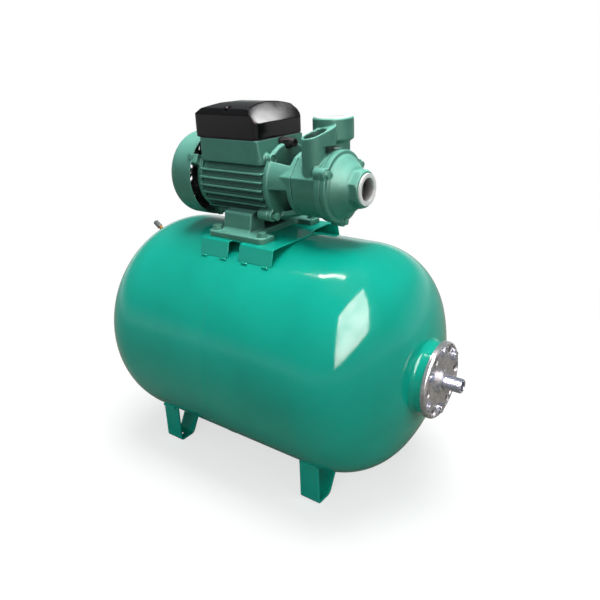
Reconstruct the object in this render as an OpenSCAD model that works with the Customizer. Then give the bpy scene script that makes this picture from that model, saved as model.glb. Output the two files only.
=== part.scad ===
// Horizontal pressure tank on four strap feet with a small peripheral pump bolted on top.
// Origin on the floor under the middle of the tank, +X towards the water connection, +Z up.

/* [Tank] */
// Outer diameter of the tank
tank_d = 280; // [260:1:320]
// Length over both dished heads
tank_len = 448; // [430:0.5:540]
// Thickness of the tank sheet
tank_wall = 1.6; // [1.2:0.1:3]
// Knuckle radius where a head turns into the cylinder
knuckle_r = 80; // [60:1:90]
// Crown radius of a head
crown_r = 200; // [190:5:300]
// Height of the belly above the floor
ground_clear = 19; // [12:1:40]
// Width of the weld bead round the middle
seam_w = 5; // [4:0.5:10]
// Height of the weld bead round the middle
seam_h = 0.8; // [0.5:0.1:1.4]
// How far each end of the rubber bag reaches past the straight wall
bag_reach = 70.077; // [68:0.001:73]

/* [Tank feet] */
// Width of a foot strap along the tank
strap_w = 27; // [20:1:36]
// Thickness of a foot strap
strap_t = 3; // [2:0.5:5]
// Distance from the middle to the outer face of a foot
strap_y = 93.4; // [85:0.2:100]
// Distance of a foot's middle from the end of the straight cylinder
strap_inset = 10.5; // [10:0.5:30]
// Length of the flat pad that stands on the floor
pad_len = 24; // [22:1:30]
// Diameter of the fixing hole in each pad
fixing_d = 8; // [6:0.5:10]

/* [Pump platform] */
// Length of the platform along the tank
deck_len = 110; // [106:1:130]
// Width of the platform over its folds
deck_w = 132; // [128:1:140]
// Thickness of the platform sheet
deck_t = 1.5; // [1.2:0.1:2.5]
// Slope of the folded sides away from upright, degrees
deck_splay = 14; // [5:1:20]
// Width of the gap that lets the folds pass the weld bead
deck_gap = 17; // [14:1:24]
// Depth of the cut in the front edge of the deck
deck_relief = 9; // [5:0.5:12]

/* [Water connection] */
// Diameter of the tank flange
flange_d = 89; // [86:1:100]
// Thickness of the tank flange at its rim
flange_t = 6; // [5.5:0.5:9]
// Length of the collar between the head and the flange
neck_len = 7.25; // [6.5:0.25:14]
// Radius of the flare where the collar meets the head
neck_flare = 6; // [4:0.5:7]
// Diameter of the circle of flange bolts
flange_pcd = 72; // [71:0.5:74]
// Number of flange bolts
flange_bolts_n = 6; // [4:1:8]
// Outer diameter of the threaded stub
stub_d = 16.66; // [14:0.02:18]
// Length of the stub in front of the flange boss
stub_len = 20.5; // [16:0.5:40]
// Bore of the stub
stub_bore = 11; // [8:0.5:12]

/* [Air valve] */
// Angle of the air valve above the tank axis, degrees
valve_tilt = 36; // [34:1:50]
// Height of the valve cap above the head
valve_rise = 26.8; // [22:0.2:34]
// Diameter of the valve thread
valve_d = 5.2; // [4.8:0.1:6]
// Diameter of the valve cap
valve_cap_d = 7.4; // [7:0.2:9]

/* [Motor] */
// Height of the shaft above the foot
shaft_h = 63; // [62:0.5:72]
// Position of the motor's front face along the tank
motor_front = 30; // [22:1:36]
// Length of the motor casting
motor_len = 98; // [96:1:110]
// Outer diameter of the plain motor shell
shell_d = 80; // [78:0.5:82]
// Diameter over the tips of the cooling fins
fin_d = 93; // [90:0.5:96]
// Number of cooling fins on each side
fin_count = 6; // [4:1:6]
// Spacing of the cooling fins
fin_pitch = 9.2; // [8:0.1:9.4]
// Thickness of a cooling fin
fin_t = 2.6; // [1.8:0.1:3.2]
// Length of the motor foot
foot_len = 86; // [82:1:92]
// Width of the motor foot
foot_w = 120; // [116:1:124]
// Thickness of the motor foot
foot_t = 7; // [5:0.5:9]
// Spacing of the foot bolts along the shaft
bolt_x = 70; // [66:0.5:72]
// Spacing of the foot bolts across the shaft
bolt_y = 100; // [98:0.5:102]
// Length of the pedestal under the shell
pedestal_len = 42; // [34:1:43]

/* [Terminal box] */
// Width of the terminal box
box_w = 86; // [82:1:90]
// Length of the terminal box along its top edge
box_len = 91; // [88:1:94]
// Height of the box rim above the shaft
box_top = 50.2; // [48:0.1:54]
// Height of the cover above the box rim
cover_h = 39; // [36:0.5:46]
// Wall thickness of the cover
cover_t = 2.4; // [1.8:0.1:3]
// Height of the cover's crown above its long edges
cover_crown = 7; // [4:0.5:9]
// Length of the cable gland in front of the box
gland_len = 20; // [14:0.5:22]

/* [Fan end] */
// Outer diameter of the fan cowl
cowl_d = 104; // [103:0.5:110]
// Length of the fan cowl
cowl_len = 40.5; // [39:0.5:48]
// Radius of the cowl's rear edge
cowl_round = 14; // [8:0.5:18]
// Sheet thickness of the cowl
cowl_t = 1.2; // [1:0.1:2]
// Diameter of the cooling fan
fan_d = 92; // [84:1:96]
// Number of fan blades
fan_blades = 9; // [6:1:12]

/* [Rotor and stator] */
// Shaft diameter in the bearings
shaft_d = 12; // [11:0.5:12.5]
// Outer diameter of a ball bearing
bearing_d = 32; // [30:0.5:34]
// Width of a ball bearing
bearing_w = 10; // [9:0.5:10]
// Diameter of the rotor
rotor_d = 39.4; // [36:0.2:41]
// Gap between rotor and stator on each side
air_gap = 0.3; // [0.2:0.05:0.6]
// Length of the laminated stack
stack_len = 48; // [40:1:50]

/* [Pump head] */
// Outer diameter of the lantern at the motor
lantern_d = 90; // [88:0.5:92]
// Length of the lantern
lantern_len = 34; // [33:0.5:40]
// Diameter of the pump casing drum
drum_d = 74; // [72:0.5:78]
// Length of the pump casing with its flange
drum_len = 40; // [38:0.5:44]
// Diameter of the flange between casing and front cover
rim_d = 81; // [79:0.5:86]
// Thickness of the front cover's rim
rim_t = 7; // [6:0.5:9]
// Number of bolts round the front cover
rim_bolts_n = 3; // [3:1:4]
// Length of the suction nozzle in front of the rim
nozzle_len = 28; // [27:0.5:36]
// Diameter across the flats of the nozzle end
nozzle_af = 40.5; // [39.5:0.5:44]
// Diameter of the suction and outlet threads, taken at their crests
port_bore = 30.3; // [28:0.1:31]
// Diameter of the outlet head
outlet_d = 46; // [43:0.5:48]
// Height of the outlet face above the shaft
outlet_top = 73; // [70:0.5:80]
// Sideways offset of the outlet
outlet_y = 15; // [14:0.5:16]
// Bore of the priming boss
prime_bore = 18.6; // [16:0.1:19]
// Outer diameter of the priming boss
prime_d = 25.5; // [25:0.5:27]
// Height of the priming boss above the shaft, at the low side of its slanted face
prime_top = 55; // [52:0.5:58]
// Slope of the priming boss's face, degrees
prime_slant = 16; // [8:1:18]
// Length by which the top of the priming boss reaches towards the outlet
prime_reach = 15; // [10:0.5:18]
// Diameter of the impeller
impeller_d = 60; // [56:0.5:61]
// Number of vanes on each side of the impeller
vane_count = 30; // [20:2:36]
// Radial clearance of a running fit
running_fit = 0.05; // [0.03:0.01:0.08]

/* [Port plugs] */
// Diameter of the lip on the suction plug
plug_lip_d = 35.5; // [34:0.5:36.5]
// Bore of a plug's cup
plug_cup_d = 26; // [24:0.5:26.5]
// Depth of a plug's cup
plug_depth = 11; // [9:0.5:12]

/* [Hidden] */
$fn = 64;
tank_r = tank_d / 2;
axis_z = ground_clear + tank_r;
crown_angle = asin((tank_r - knuckle_r) / (crown_r - knuckle_r));
dish_h = crown_r - (crown_r - knuckle_r) * cos(crown_angle);
cyl_half = tank_len / 2 - dish_h;
crown_x = tank_len / 2 - crown_r;
big = 400;
lap = 0.1;

strap_x = cyl_half - strap_inset;
fixing_y = strap_y - pad_len / 2;
deck_z = axis_z + tank_r;
deck_x = 3;
pump_z = deck_z + deck_t + shaft_h;

ring_face = tank_len / 2 + neck_len;
ring_back = ring_face - 7.5;
collar_r = flange_d / 2 - 3;
lip_t = 1.5;
flange_back = ring_face + lip_t;
flange_face = flange_back + flange_t;
boss_face = flange_face + 3;
throat_r = 25;
flange_bolt_r = 3;
stub_root = stub_d / 2 - 0.8;
undercut = 1.5;

motor_rear = motor_front - motor_len;
shell_r = shell_d / 2;
fin_r = fin_d / 2;
bore_r = shell_r - 4;
foot_mid = motor_front - 35.5;
box_front = motor_front - 6.5;
box_rear = box_front - box_len;
box_low = 23.5;
cover_mid = (box_front + box_rear) / 2;
screw_y = box_w / 2 - 7;
lug_r = 49;
lug_size = 6.5;
sunk_r = shell_r + 1.8;
sunk_size = 5.5;
gland_z = box_top - 5.7;
gland_bore = 3.6;
gland_af = 11;
boss_w = 12;
board_out = screw_y - boss_w / 2 - 2;
board_in = 4;
board_w = board_out - board_in;
board_y = -(board_out + board_in) / 2;
can_r = 13;
can_y = screw_y - boss_w / 2 - can_r - 1;

shield_t = 12;
shield_rear = motor_rear - shield_t;
rear_bearing = motor_rear - 9;
front_bearing = motor_front - 9.8;
stack_rear = motor_front - 28 - stack_len;
stack_front = motor_front - 28;
shaft_r = shaft_d / 2;
bearing_r = bearing_d / 2;
rotor_r = rotor_d / 2;
cowl_rim = shield_rear + 1.5;
cowl_rear = cowl_rim - cowl_len;
cowl_r = cowl_d / 2;

lantern_front = motor_front + lantern_len;
drum_front = lantern_front + drum_len;
rim_front = drum_front + rim_t;
nozzle_tip = rim_front + nozzle_len;
port_x = drum_front - 17;
prime_y = outlet_y - outlet_d / 2 - prime_d / 2 - 3.5;
chamber_rear = drum_front - 15.5;
impeller_rear = drum_front - 12.2;
impeller_w = 10;
impeller_r = impeller_d / 2;
chamber_r = impeller_r + 3.5;
rim_r = rim_d / 2;
drum_r = drum_d / 2;
port_r = port_bore / 2;
rim_pcd_r = rim_r - 1.5;
rim_turn = 30;
rim_lug_r = 6.2;
cap_lip_d = outlet_d - 4.5;
shoulder_z = 12.5;
seal_r = chamber_r + 1.4;
seal_cord_r = 1;
lantern_bolt_r = drum_r - 13;

// Helpers that lay a shape along the tank
module bar_x(r, x0, x1, y = 0, z = 0) {
    translate([x0, y, z]) rotate([0, 90, 0]) cylinder(h = x1 - x0, r = r);
}

module cone_x(r0, r1, x0, x1) {
    translate([x0, 0, 0]) rotate([0, 90, 0]) cylinder(h = x1 - x0, r1 = r0, r2 = r1);
}

module tube_x(r_out, r_in, x0, x1) {
    difference() {
        bar_x(r_out, x0, x1);
        bar_x(r_in, x0 - 1, x1 + 1);
    }
}

module tank_body() {
    translate([-tank_len, 0, axis_z]) rotate([0, 90, 0]) cylinder(h = 2 * tank_len, r = tank_r, $fn = 720);
}

module turn_x() {
    rotate([0, 90, 0]) rotate_extrude($fn = 96) children();
}

// A drawing in Y and Z pushed out along X
module push_x(x0, x1) {
    translate([x0, 0, 0]) rotate([90, 0, 90]) linear_extrude(x1 - x0) children();
}

module box_at(x0, x1, y0, y1, z0, z1) {
    translate([x0, y0, z0]) cube([x1 - x0, y1 - y0, z1 - z0]);
}

module hex_x(af, x0, x1, y = 0, z = 0) {
    translate([x0, y, z]) rotate([0, 90, 0]) cylinder(h = x1 - x0, r = af / sqrt(3), $fn = 6);
}

module around_x(n, r, start = 0, step = 0) {
    for (i = [0 : n - 1]) {
        rotate([start + i * (step > 0 ? step : 360 / n), 0, 0]) translate([0, r, 0]) children();
    }
}

// The two lugs below the shaft and the two sunk screws above it hold lantern and motor together
module at_lugs() {
    around_x(2, lug_r, 225, 90) children();
}

module at_sunk() {
    around_x(2, sunk_r, 45, 90) children();
}

module round_rect(w, d, r) {
    square([w - 2 * r, d], center = true);
    square([w, d - 2 * r], center = true);
    for (sx = [-1, 1], sy = [-1, 1]) {
        translate([sx * (w / 2 - r), sy * (d / 2 - r)]) circle(r = r, $fn = 48);
    }
}

// A strip of sheet bent along a path, with true arcs at its corners
function unit(v) = v / norm(v);
function turn_of(a, b, c) = acos(max(-1, min(1, unit(b - a) * unit(c - b))));
function reach_of(a, b, c, r) = r * tan(turn_of(a, b, c) / 2);

module strip_leg(a, b, t) {
    d = unit(b - a);
    n = [-d[1], d[0]] * t / 2;
    polygon([a + n, a - n, b - n, b + n]);
}

module strip_bend(a, b, c, r, t) {
    u = unit(a - b);
    v = unit(c - b);
    reach = reach_of(a, b, c, r);
    hub = b + unit(u + v) * norm([r, reach]);
    intersection() {
        translate(hub) difference() {
            circle(r = r + t / 2, $fn = 72);
            circle(r = r - t / 2, $fn = 72);
        }
        polygon([hub, hub + (b + u * reach - hub) * 2, hub + (b - hub) * 2,
            hub + (b + v * reach - hub) * 2]);
    }
}

module strip_path(p, r, t) {
    last = len(p) - 1;
    for (i = [0 : last - 1]) {
        d = unit(p[i + 1] - p[i]);
        cut_a = i == 0 ? 0 : reach_of(p[i - 1], p[i], p[i + 1], r[i - 1]);
        cut_b = i == last - 1 ? 0 : reach_of(p[i], p[i + 1], p[i + 2], r[i]);
        strip_leg(p[i] + d * (cut_a - (i == 0 ? 0 : lap)),
            p[i + 1] - d * (cut_b - (i == last - 1 ? 0 : lap)), t);
    }
    for (i = [1 : last - 1]) {
        strip_bend(p[i - 1], p[i], p[i + 1], r[i - 1], t);
    }
}

// Tank shell: two deep drawn halves that meet under a weld bead round the middle
module half_section(inset) {
    intersection() {
        square([tank_r - inset, tank_len / 2]);
        union() {
            square([tank_r - inset, cyl_half]);
            translate([tank_r - knuckle_r, cyl_half]) circle(r = knuckle_r - inset, $fn = 180);
            intersection() {
                translate([0, crown_x]) circle(r = crown_r - inset, $fn = 720);
                polygon([[0, crown_x], [big * 2 * tan(crown_angle), crown_x + big * 2],
                    [0, crown_x + big * 2]]);
            }
        }
    }
}

module half_shell() {
    turn_x() difference() {
        half_section(0);
        half_section(tank_wall);
    }
}

module tank_shell_front() {
    color([0.1, 0.62, 0.5]) translate([0, 0, axis_z]) difference() {
        half_shell();
        bar_x(throat_r, tank_len / 2 - 20, tank_len / 2 + 1);
    }
}

module tank_shell_rear() {
    color([0.1, 0.62, 0.5]) difference() {
        translate([0, 0, axis_z]) mirror([1, 0, 0]) half_shell();
        at_valve() cylinder(h = knuckle_r + 5, r = valve_d / 2 + 0.8);
    }
}

module girth_weld() {
    bead_r = (seam_w * seam_w / 4 + seam_h * seam_h) / (2 * seam_h);
    color([0.1, 0.6, 0.5]) translate([0, 0, axis_z]) turn_x() difference() {
        translate([tank_r + seam_h - bead_r, 0]) circle(r = bead_r, $fn = 48);
        translate([0, -big / 2]) square([tank_r, big]);
    }
}

// Tank feet: a strap bent into an open loop under the belly
module foot_drawing() {
    low = strap_t / 2;
    out_y = strap_y - strap_t / 2;
    strip_path([[out_y, axis_z - 60], [out_y, low], [strap_y - pad_len, low], [strap_y - 50, axis_z - 110]],
        [4, 7], strap_t);
}

module foot_at(side_x, side_y) {
    color([0.1, 0.6, 0.5]) difference() {
        mirror([0, side_y < 0 ? 1 : 0, 0])
            push_x(side_x * strap_x - strap_w / 2, side_x * strap_x + strap_w / 2) foot_drawing();
        tank_body();
        translate([side_x * strap_x, side_y * fixing_y, -1]) cylinder(h = strap_t + 4, r = fixing_d / 2);
    }
}

module foot_front_near() {
    foot_at(1, -1);
}

module foot_front_far() {
    foot_at(1, 1);
}

module foot_rear_near() {
    foot_at(-1, -1);
}

module foot_rear_far() {
    foot_at(-1, 1);
}

// Weld beads where the outer leg of each foot meets the belly
module foot_welds() {
    weld_y = strap_y + 0.6;
    weld_z = axis_z - sqrt(tank_r * tank_r - weld_y * weld_y);
    color([0.1, 0.58, 0.48]) for (sx = [-1, 1], sy = [-1, 1]) {
        difference() {
            bar_x(2.2, sx * strap_x - strap_w / 2 + 3, sx * strap_x + strap_w / 2 - 3, sy * weld_y, weld_z);
            tank_body();
            box_at(-big, big, -strap_y, strap_y, 0, axis_z);
        }
    }
}

// Pump platform: folded sheet on the crest of the tank, split to pass the weld bead
module deck_drawing() {
    top = deck_z + deck_t / 2;
    edge = deck_w / 2 - deck_t / 2;
    drop = 45;
    lean = drop * tan(deck_splay);
    strip_path([[-edge - lean, top - drop], [-edge, top], [edge, top], [edge + lean, top - drop]],
        [2.5, 2.5], deck_t);
}

module pump_platform() {
    x0 = deck_x - deck_len / 2;
    x1 = deck_x + deck_len / 2;
    color([0.1, 0.6, 0.5]) difference() {
        push_x(x0, x1) deck_drawing();
        tank_body();
        for (s = [-1, 1]) {
            box_at(-deck_gap / 2, deck_gap / 2, s * deck_w / 2 - 20 + s * 14, s * deck_w / 2 + 20 + s * 14,
                deck_z - 60, deck_z + deck_t + 5);
        }
        translate([0, 0, deck_z - 5]) linear_extrude(deck_t + 10) {
            round_rect(deck_gap, 74, 6);
            for (sx = [-1, 1], sy = [-1, 1]) {
                translate([foot_mid + sx * bolt_x / 2, sy * bolt_y / 2]) round_rect(7, 12, 3.4);
            }
            polygon([[x1 + 1, 4], [x1 - deck_relief, 30], [x1 - deck_relief, deck_w / 2 - 9],
                [x1 + 1, deck_w / 2 - 9]]);
        }
    }
}

module platform_welds() {
    slope = tan(deck_splay);
    out = deck_w / 2 + 20 * slope + 0.4;
    weld_z = axis_z + sqrt(tank_r * tank_r - out * out);
    color([0.1, 0.58, 0.48]) for (sy = [-1, 1], wx = [-1, 1], tab = [-1, 1]) {
        mid = deck_x + wx * (deck_len / 4 + deck_gap / 4) + tab * (deck_len / 4 - deck_gap / 4 - 8);
        difference() {
            bar_x(2.4, mid - 4, mid + 4, sy * (out + 0.8), weld_z);
            tank_body();
            push_x(deck_x - deck_len, deck_x + deck_len) deck_drawing();
        }
    }
}

// Water connection at the front head
module tank_ring() {
    flare_r = collar_r + neck_flare;
    flare_x = crown_x + sqrt(pow(crown_r + neck_flare, 2) - flare_r * flare_r);
    toe_r = flare_r * crown_r / (crown_r + neck_flare) - 1.5;
    base = flare_x - neck_flare - 3;
    color([0.1, 0.58, 0.48]) translate([0, 0, axis_z]) difference() {
        turn_x() difference() {
            union() {
                translate([throat_r, base - 10]) square([collar_r - throat_r, ring_face - base + 10]);
                difference() {
                    translate([collar_r - 1, base]) square([toe_r - collar_r + 1, flare_x - base]);
                    translate([flare_r, flare_x]) circle(r = neck_flare, $fn = 64);
                }
            }
            translate([0, crown_x]) circle(r = crown_r, $fn = 720);
        }
        around_x(flange_bolts_n, flange_pcd / 2) bar_x(flange_bolt_r, ring_back - 1, ring_face + 1);
    }
}

module tank_flange() {
    edge = 3.4;
    groove_r = 0.28 * flange_pcd;
    groove_w = 4;
    face = flange_face - 1.6;
    color([0.7, 0.71, 0.72]) translate([0, 0, axis_z]) difference() {
        turn_x() difference() {
            union() {
                translate([0, flange_back]) square([flange_d / 2 - edge, face - flange_back]);
                translate([0, flange_back]) square([flange_d / 2, flange_t - edge]);
                translate([flange_d / 2 - edge, flange_face - edge]) circle(r = edge, $fn = 48);
                translate([0, flange_back]) square([15, boss_face - flange_back - 1]);
                translate([0, flange_back]) square([14, boss_face - flange_back]);
            }
            translate([-1, flange_back - 1]) square([1 + stub_root, flange_t + 8]);
            translate([groove_r, flange_back - 1]) square([groove_w, 2]);
        }
        around_x(flange_bolts_n, flange_pcd / 2) {
            bar_x(flange_bolt_r + 0.3, flange_back - 1, flange_face + 1);
            bar_x(6.6, face - 0.6, flange_face + 1);
        }
    }
}

module flange_bolts() {
    seat = flange_face - 2.2;
    color([0.75, 0.76, 0.78]) translate([0, 0, axis_z]) around_x(flange_bolts_n, flange_pcd / 2) {
        bar_x(flange_bolt_r, ring_back + 0.5, seat);
        difference() {
            hex_x(10, seat, seat + 4.2);
            bar_x(2.2, seat + 3.6, seat + 5);
        }
    }
}

module water_stub() {
    chamfer = 1;
    tip = boss_face + stub_len;
    color([0.72, 0.75, 0.8]) translate([0, 0, axis_z]) turn_x() polygon([
        [stub_bore / 2, flange_back], [stub_root, flange_back], [stub_root, boss_face + undercut],
        [stub_d / 2, boss_face + undercut], [stub_d / 2, tip - chamfer], [stub_d / 2 - chamfer, tip],
        [stub_bore / 2, tip]]);
}

// Rubber bag inside the tank, clamped by its lip behind the flange
module bag_section(inset) {
    bag_r = tank_r - 16;
    bag_round = knuckle_r - 14;
    half = cyl_half + bag_reach;
    intersection() {
        translate([0, -half]) square([bag_r, 2 * half]);
        union() {
            translate([0, inset - half]) square([bag_r - bag_round, 2 * (half - inset)]);
            translate([0, bag_round - half]) square([bag_r - inset, 2 * (half - bag_round)]);
            for (s = [-1, 1]) {
                translate([bag_r - bag_round, s * (half - bag_round)])
                    circle(r = bag_round - inset, $fn = 96);
            }
        }
    }
}

module membrane() {
    neck_r = throat_r - 3;
    color([0.12, 0.12, 0.13]) translate([0, 0, axis_z]) turn_x() difference() {
        union() {
            bag_section(0);
            square([neck_r, flange_back]);
            translate([0, ring_face]) square([flange_pcd / 2 - 5, lip_t]);
        }
        bag_section(2);
        translate([-1, 0]) square([1 + neck_r - 2, flange_back + 1]);
    }
}

// Air charging valve on the upper rear head
module at_valve() {
    translate([-cyl_half, 0, axis_z + tank_r - knuckle_r]) rotate([0, valve_tilt - 90, 0]) children();
}

module air_valve_stem() {
    top = knuckle_r + valve_rise - 2.6;
    color([0.72, 0.55, 0.3]) at_valve() difference() {
        union() {
            translate([0, 0, knuckle_r - 8]) cylinder(h = top - knuckle_r + 8, r = valve_d / 2);
            translate([0, 0, knuckle_r - 0.4]) cylinder(h = 4.4, r = valve_d / 2 + 2.4);
            translate([0, 0, knuckle_r + 4]) cylinder(h = 3, r = valve_d / 2 + 1, $fn = 6);
        }
        translate([0, 0, knuckle_r - 9]) cylinder(h = top + 10, r = 1.6);
        difference() {
            translate([0, 0, knuckle_r - 1]) cylinder(h = 1, r = valve_d);
            translate([0, 0, knuckle_r - 2]) cylinder(h = 3, r = valve_d / 2 + 0.5);
        }
    }
}

module air_valve_pin() {
    top = knuckle_r + valve_rise - 3.2;
    color([0.85, 0.75, 0.45]) at_valve() {
        translate([0, 0, knuckle_r + 2]) cylinder(h = top - knuckle_r - 2, r = 0.7);
        translate([0, 0, top - 1.4]) cylinder(h = 1, r = 1.2);
        translate([0, 0, knuckle_r + 1]) cylinder(h = 2.4, r = 1.3);
    }
}

module air_valve_cap() {
    low = knuckle_r + valve_rise - 11;
    color([0.45, 0.46, 0.47]) at_valve() difference() {
        union() {
            translate([0, 0, low]) cylinder(h = 10, r = valve_cap_d / 2);
            translate([0, 0, low + 10]) cylinder(h = 1, r1 = valve_cap_d / 2, r2 = valve_cap_d / 2 - 1);
        }
        translate([0, 0, low - 1]) cylinder(h = 10, r = valve_d / 2 + running_fit);
        for (a = [0 : 30 : 330]) {
            rotate([0, 0, a]) translate([valve_cap_d / 2 + 0.25, 0, low + 2])
                cylinder(h = 7, r = 0.6, $fn = 24);
        }
    }
}

// Motor casting: finned shell, foot and the base of the terminal box in one piece
module cooling_fins() {
    intersection() {
        bar_x(fin_r, motor_rear, motor_front - 2);
        union() {
            for (i = [0 : fin_count - 1]) {
                level = 13.5 - i * fin_pitch;
                box_at(motor_rear, motor_front, -fin_r, fin_r, level - fin_t / 2, level + fin_t / 2);
            }
            for (s = [-1, 1], k = [0, 1]) {
                box_at(motor_rear, motor_front, s * (6 + k * 10) - fin_t / 2, s * (6 + k * 10) + fin_t / 2,
                    -fin_r, 0);
            }
        }
    }
}

module box_base() {
    intersection() {
        translate([cover_mid + 2, 0, 0]) linear_extrude(box_top) round_rect(box_len + 4, box_w, 7);
        rotate([90, 0, 0]) translate([0, 0, -box_w / 2]) linear_extrude(box_w) polygon([
            [box_rear, box_low], [box_front + 4, box_low], [box_front, box_top], [box_rear, box_top]]);
    }
}

module pedestal() {
    push_x(foot_mid - 6 - pedestal_len / 2, foot_mid - 6 + pedestal_len / 2) for (s = [-1, 1]) {
        polygon([[s * 20, foot_t - shaft_h], [s * 50, foot_t - shaft_h], [s * 47, foot_t + 3 - shaft_h],
            [s * 44, -36], [s * 43, -34], [s * 20, -30]]);
    }
}

module motor_housing() {
    color([0.29, 0.54, 0.46]) translate([0, 0, pump_z]) difference() {
        union() {
            bar_x(shell_r, motor_rear, motor_front);
            cooling_fins();
            box_base();
            pedestal();
            translate([foot_mid, 0, -shaft_h]) linear_extrude(foot_t) round_rect(foot_len, foot_w, 8);
            at_lugs() bar_x(lug_size, motor_front - 14, motor_front);
            at_sunk() bar_x(sunk_size, motor_front - 14, motor_front);
            intersection() {
                tube_x(lug_r, shell_r - 1, motor_front - 14, motor_front);
                around_x(2, shell_r, 225, 90) box_at(motor_front - 14, motor_front, -6, 12, -5, 5);
            }
        }
        bar_x(bore_r, motor_rear - 1, motor_front + 1);
        // compartment of the terminal box, with the wire hole and the seat of the gland
        translate([cover_mid, 0, shell_r + 1]) linear_extrude(20) difference() {
            round_rect(box_len - 9, box_w - 9, 5);
            for (s = [-1, 1]) {
                translate([0, s * screw_y]) round_rect(13, boss_w, 3);
            }
        }
        translate([motor_front - 22, 0, 0]) cylinder(h = shell_r + 5, r = 4.5);
        box_at(box_front - 16, box_front - 4.5, -8, 8, bore_r + 1.5, box_top);
        bar_x(5, box_front - 8, box_front + 10, 0, gland_z);
        bar_x(7.4, box_front + 1.4, box_front + 10, 0, gland_z);
        for (s = [-1, 1]) {
            translate([cover_mid, s * screw_y, box_top - 12]) cylinder(h = 13, r = 1.7);
        }
        for (sx = [-1, 1], sy = [-1, 1]) {
            translate([foot_mid + sx * bolt_x / 2, sy * bolt_y / 2, -shaft_h - 1])
                cylinder(h = foot_t + 2, r = 3.5);
        }
        at_lugs() bar_x(2.5, motor_front - 12, motor_front + 1);
        at_sunk() bar_x(2, motor_front - 12, motor_front + 1);
    }
}

// Fan end
module rear_shield() {
    color([0.27, 0.5, 0.43]) translate([0, 0, pump_z]) difference() {
        union() {
            turn_x() polygon([[bearing_r, motor_rear], [bore_r, motor_rear], [bore_r, motor_rear + 5],
                [bore_r - 2.5, motor_rear + 5], [bore_r - 2.5, motor_rear + 1],
                [bearing_r + 4, motor_rear + 1], [bearing_r + 4, motor_rear + 2], [bearing_r, motor_rear + 2]]);
            turn_x() polygon([[bearing_r, shield_rear + 2], [bearing_r + 4, shield_rear],
                [shell_r, shield_rear + 4], [shell_r + 3, shield_rear + 6], [shell_r + 3, motor_rear],
                [bearing_r, motor_rear]]);
            turn_x() polygon([[shaft_r + 1, shield_rear], [bearing_r + 4, shield_rear],
                [bearing_r + 4, shield_rear + 3], [shaft_r + 1, shield_rear + 3]]);
            around_x(3, 0, 30)
                box_at(shield_rear - 6, motor_rear - 4, shell_r - 8, cowl_r - cowl_t - 0.4, -6, 6);
        }
        bar_x(bearing_r, shield_rear + 3, motor_rear + 3);
        around_x(3, 0, 30) translate([shield_rear - 2, 0, 0]) rotate([-90, 0, 0])
            cylinder(h = cowl_r, r = 1.6);
        bar_x(shaft_r + 1, shield_rear - 8, motor_rear);
    }
}

module cowl_section(inset) {
    intersection() {
        translate([0, cowl_rear]) square([cowl_r, cowl_len + 1]);
        union() {
            translate([0, cowl_rear + inset]) square([cowl_r - cowl_round, cowl_len + inset]);
            translate([0, cowl_rear + cowl_round]) square([cowl_r - inset, cowl_len]);
            translate([cowl_r - cowl_round, cowl_rear + cowl_round])
                circle(r = cowl_round - inset, $fn = 96);
        }
    }
}

module fan_cowl() {
    color([0.29, 0.54, 0.46]) translate([0, 0, pump_z]) difference() {
        turn_x() difference() {
            intersection() {
                cowl_section(0);
                translate([0, cowl_rear]) square([cowl_r, cowl_len]);
            }
            cowl_section(cowl_t);
        }
        around_x(10, 0) box_at(cowl_rear - 1, cowl_rear + 3, 9, 20, -1.6, 1.6);
        around_x(20, 0) box_at(cowl_rear - 1, cowl_rear + 3, 23, cowl_r - cowl_round - 1, -1.7, 1.7);
        around_x(3, 0, 30) translate([shield_rear - 2, 0, 0]) rotate([-90, 0, 0])
            cylinder(h = cowl_r + 2, r = 2);
    }
}

module cowl_screws() {
    color([0.3, 0.5, 0.43]) translate([0, 0, pump_z]) around_x(3, 0, 30) translate([shield_rear - 2, 0, 0])
        rotate([-90, 0, 0]) difference() {
            union() {
                translate([0, 0, cowl_r - 10]) cylinder(h = 10, r = 1.6);
                translate([0, 0, cowl_r]) cylinder(h = 1.8, r = 3.6);
            }
            translate([0, 0, cowl_r + 1]) box_at(-0.5, 0.5, -4, 4, 0, 2);
        }
}

module cooling_fan() {
    hub_rear = cowl_rear + 9;
    disc = shield_rear - 9;
    color([0.13, 0.13, 0.14]) translate([0, 0, pump_z]) difference() {
        union() {
            bar_x(11, hub_rear, disc + 1.6);
            bar_x(fan_d / 2 - 8, disc, disc + 1.6);
            around_x(fan_blades, 0, 10) box_at(hub_rear + 1, disc + 1, 9, fan_d / 2, -0.9, 0.9);
        }
        bar_x(shaft_r, hub_rear - 1, disc + 4);
    }
}

// Stator, rotor, shaft and bearings inside the shell
module stator_core() {
    slot_r = rotor_r + air_gap + 3;
    color([0.45, 0.46, 0.48]) translate([0, 0, pump_z]) difference() {
        tube_x(bore_r, rotor_r + air_gap, stack_rear, stack_front);
        around_x(12, 0) box_at(stack_rear - 1, stack_front + 1, slot_r, slot_r + 7, -2, 2);
    }
}

module stator_windings() {
    color([0.72, 0.35, 0.15]) translate([0, 0, pump_z]) {
        for (x0 = [stack_rear - 8, stack_front]) {
            turn_x() translate([rotor_r + 3.5, x0]) {
                translate([2, 0]) square([8, 8]);
                translate([0, 2]) square([12, 4]);
                for (cx = [2, 10], cy = [2, 6]) {
                    translate([cx, cy]) circle(r = 2, $fn = 24);
                }
            }
        }
    }
}

module rotor_core() {
    color([0.6, 0.61, 0.63]) translate([0, 0, pump_z]) difference() {
        union() {
            bar_x(rotor_r, stack_rear, stack_front);
            bar_x(rotor_r - 2, stack_rear - 5, stack_front + 5);
        }
        bar_x(shaft_r + 1.5, stack_rear - 6, stack_front + 6);
    }
}

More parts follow.
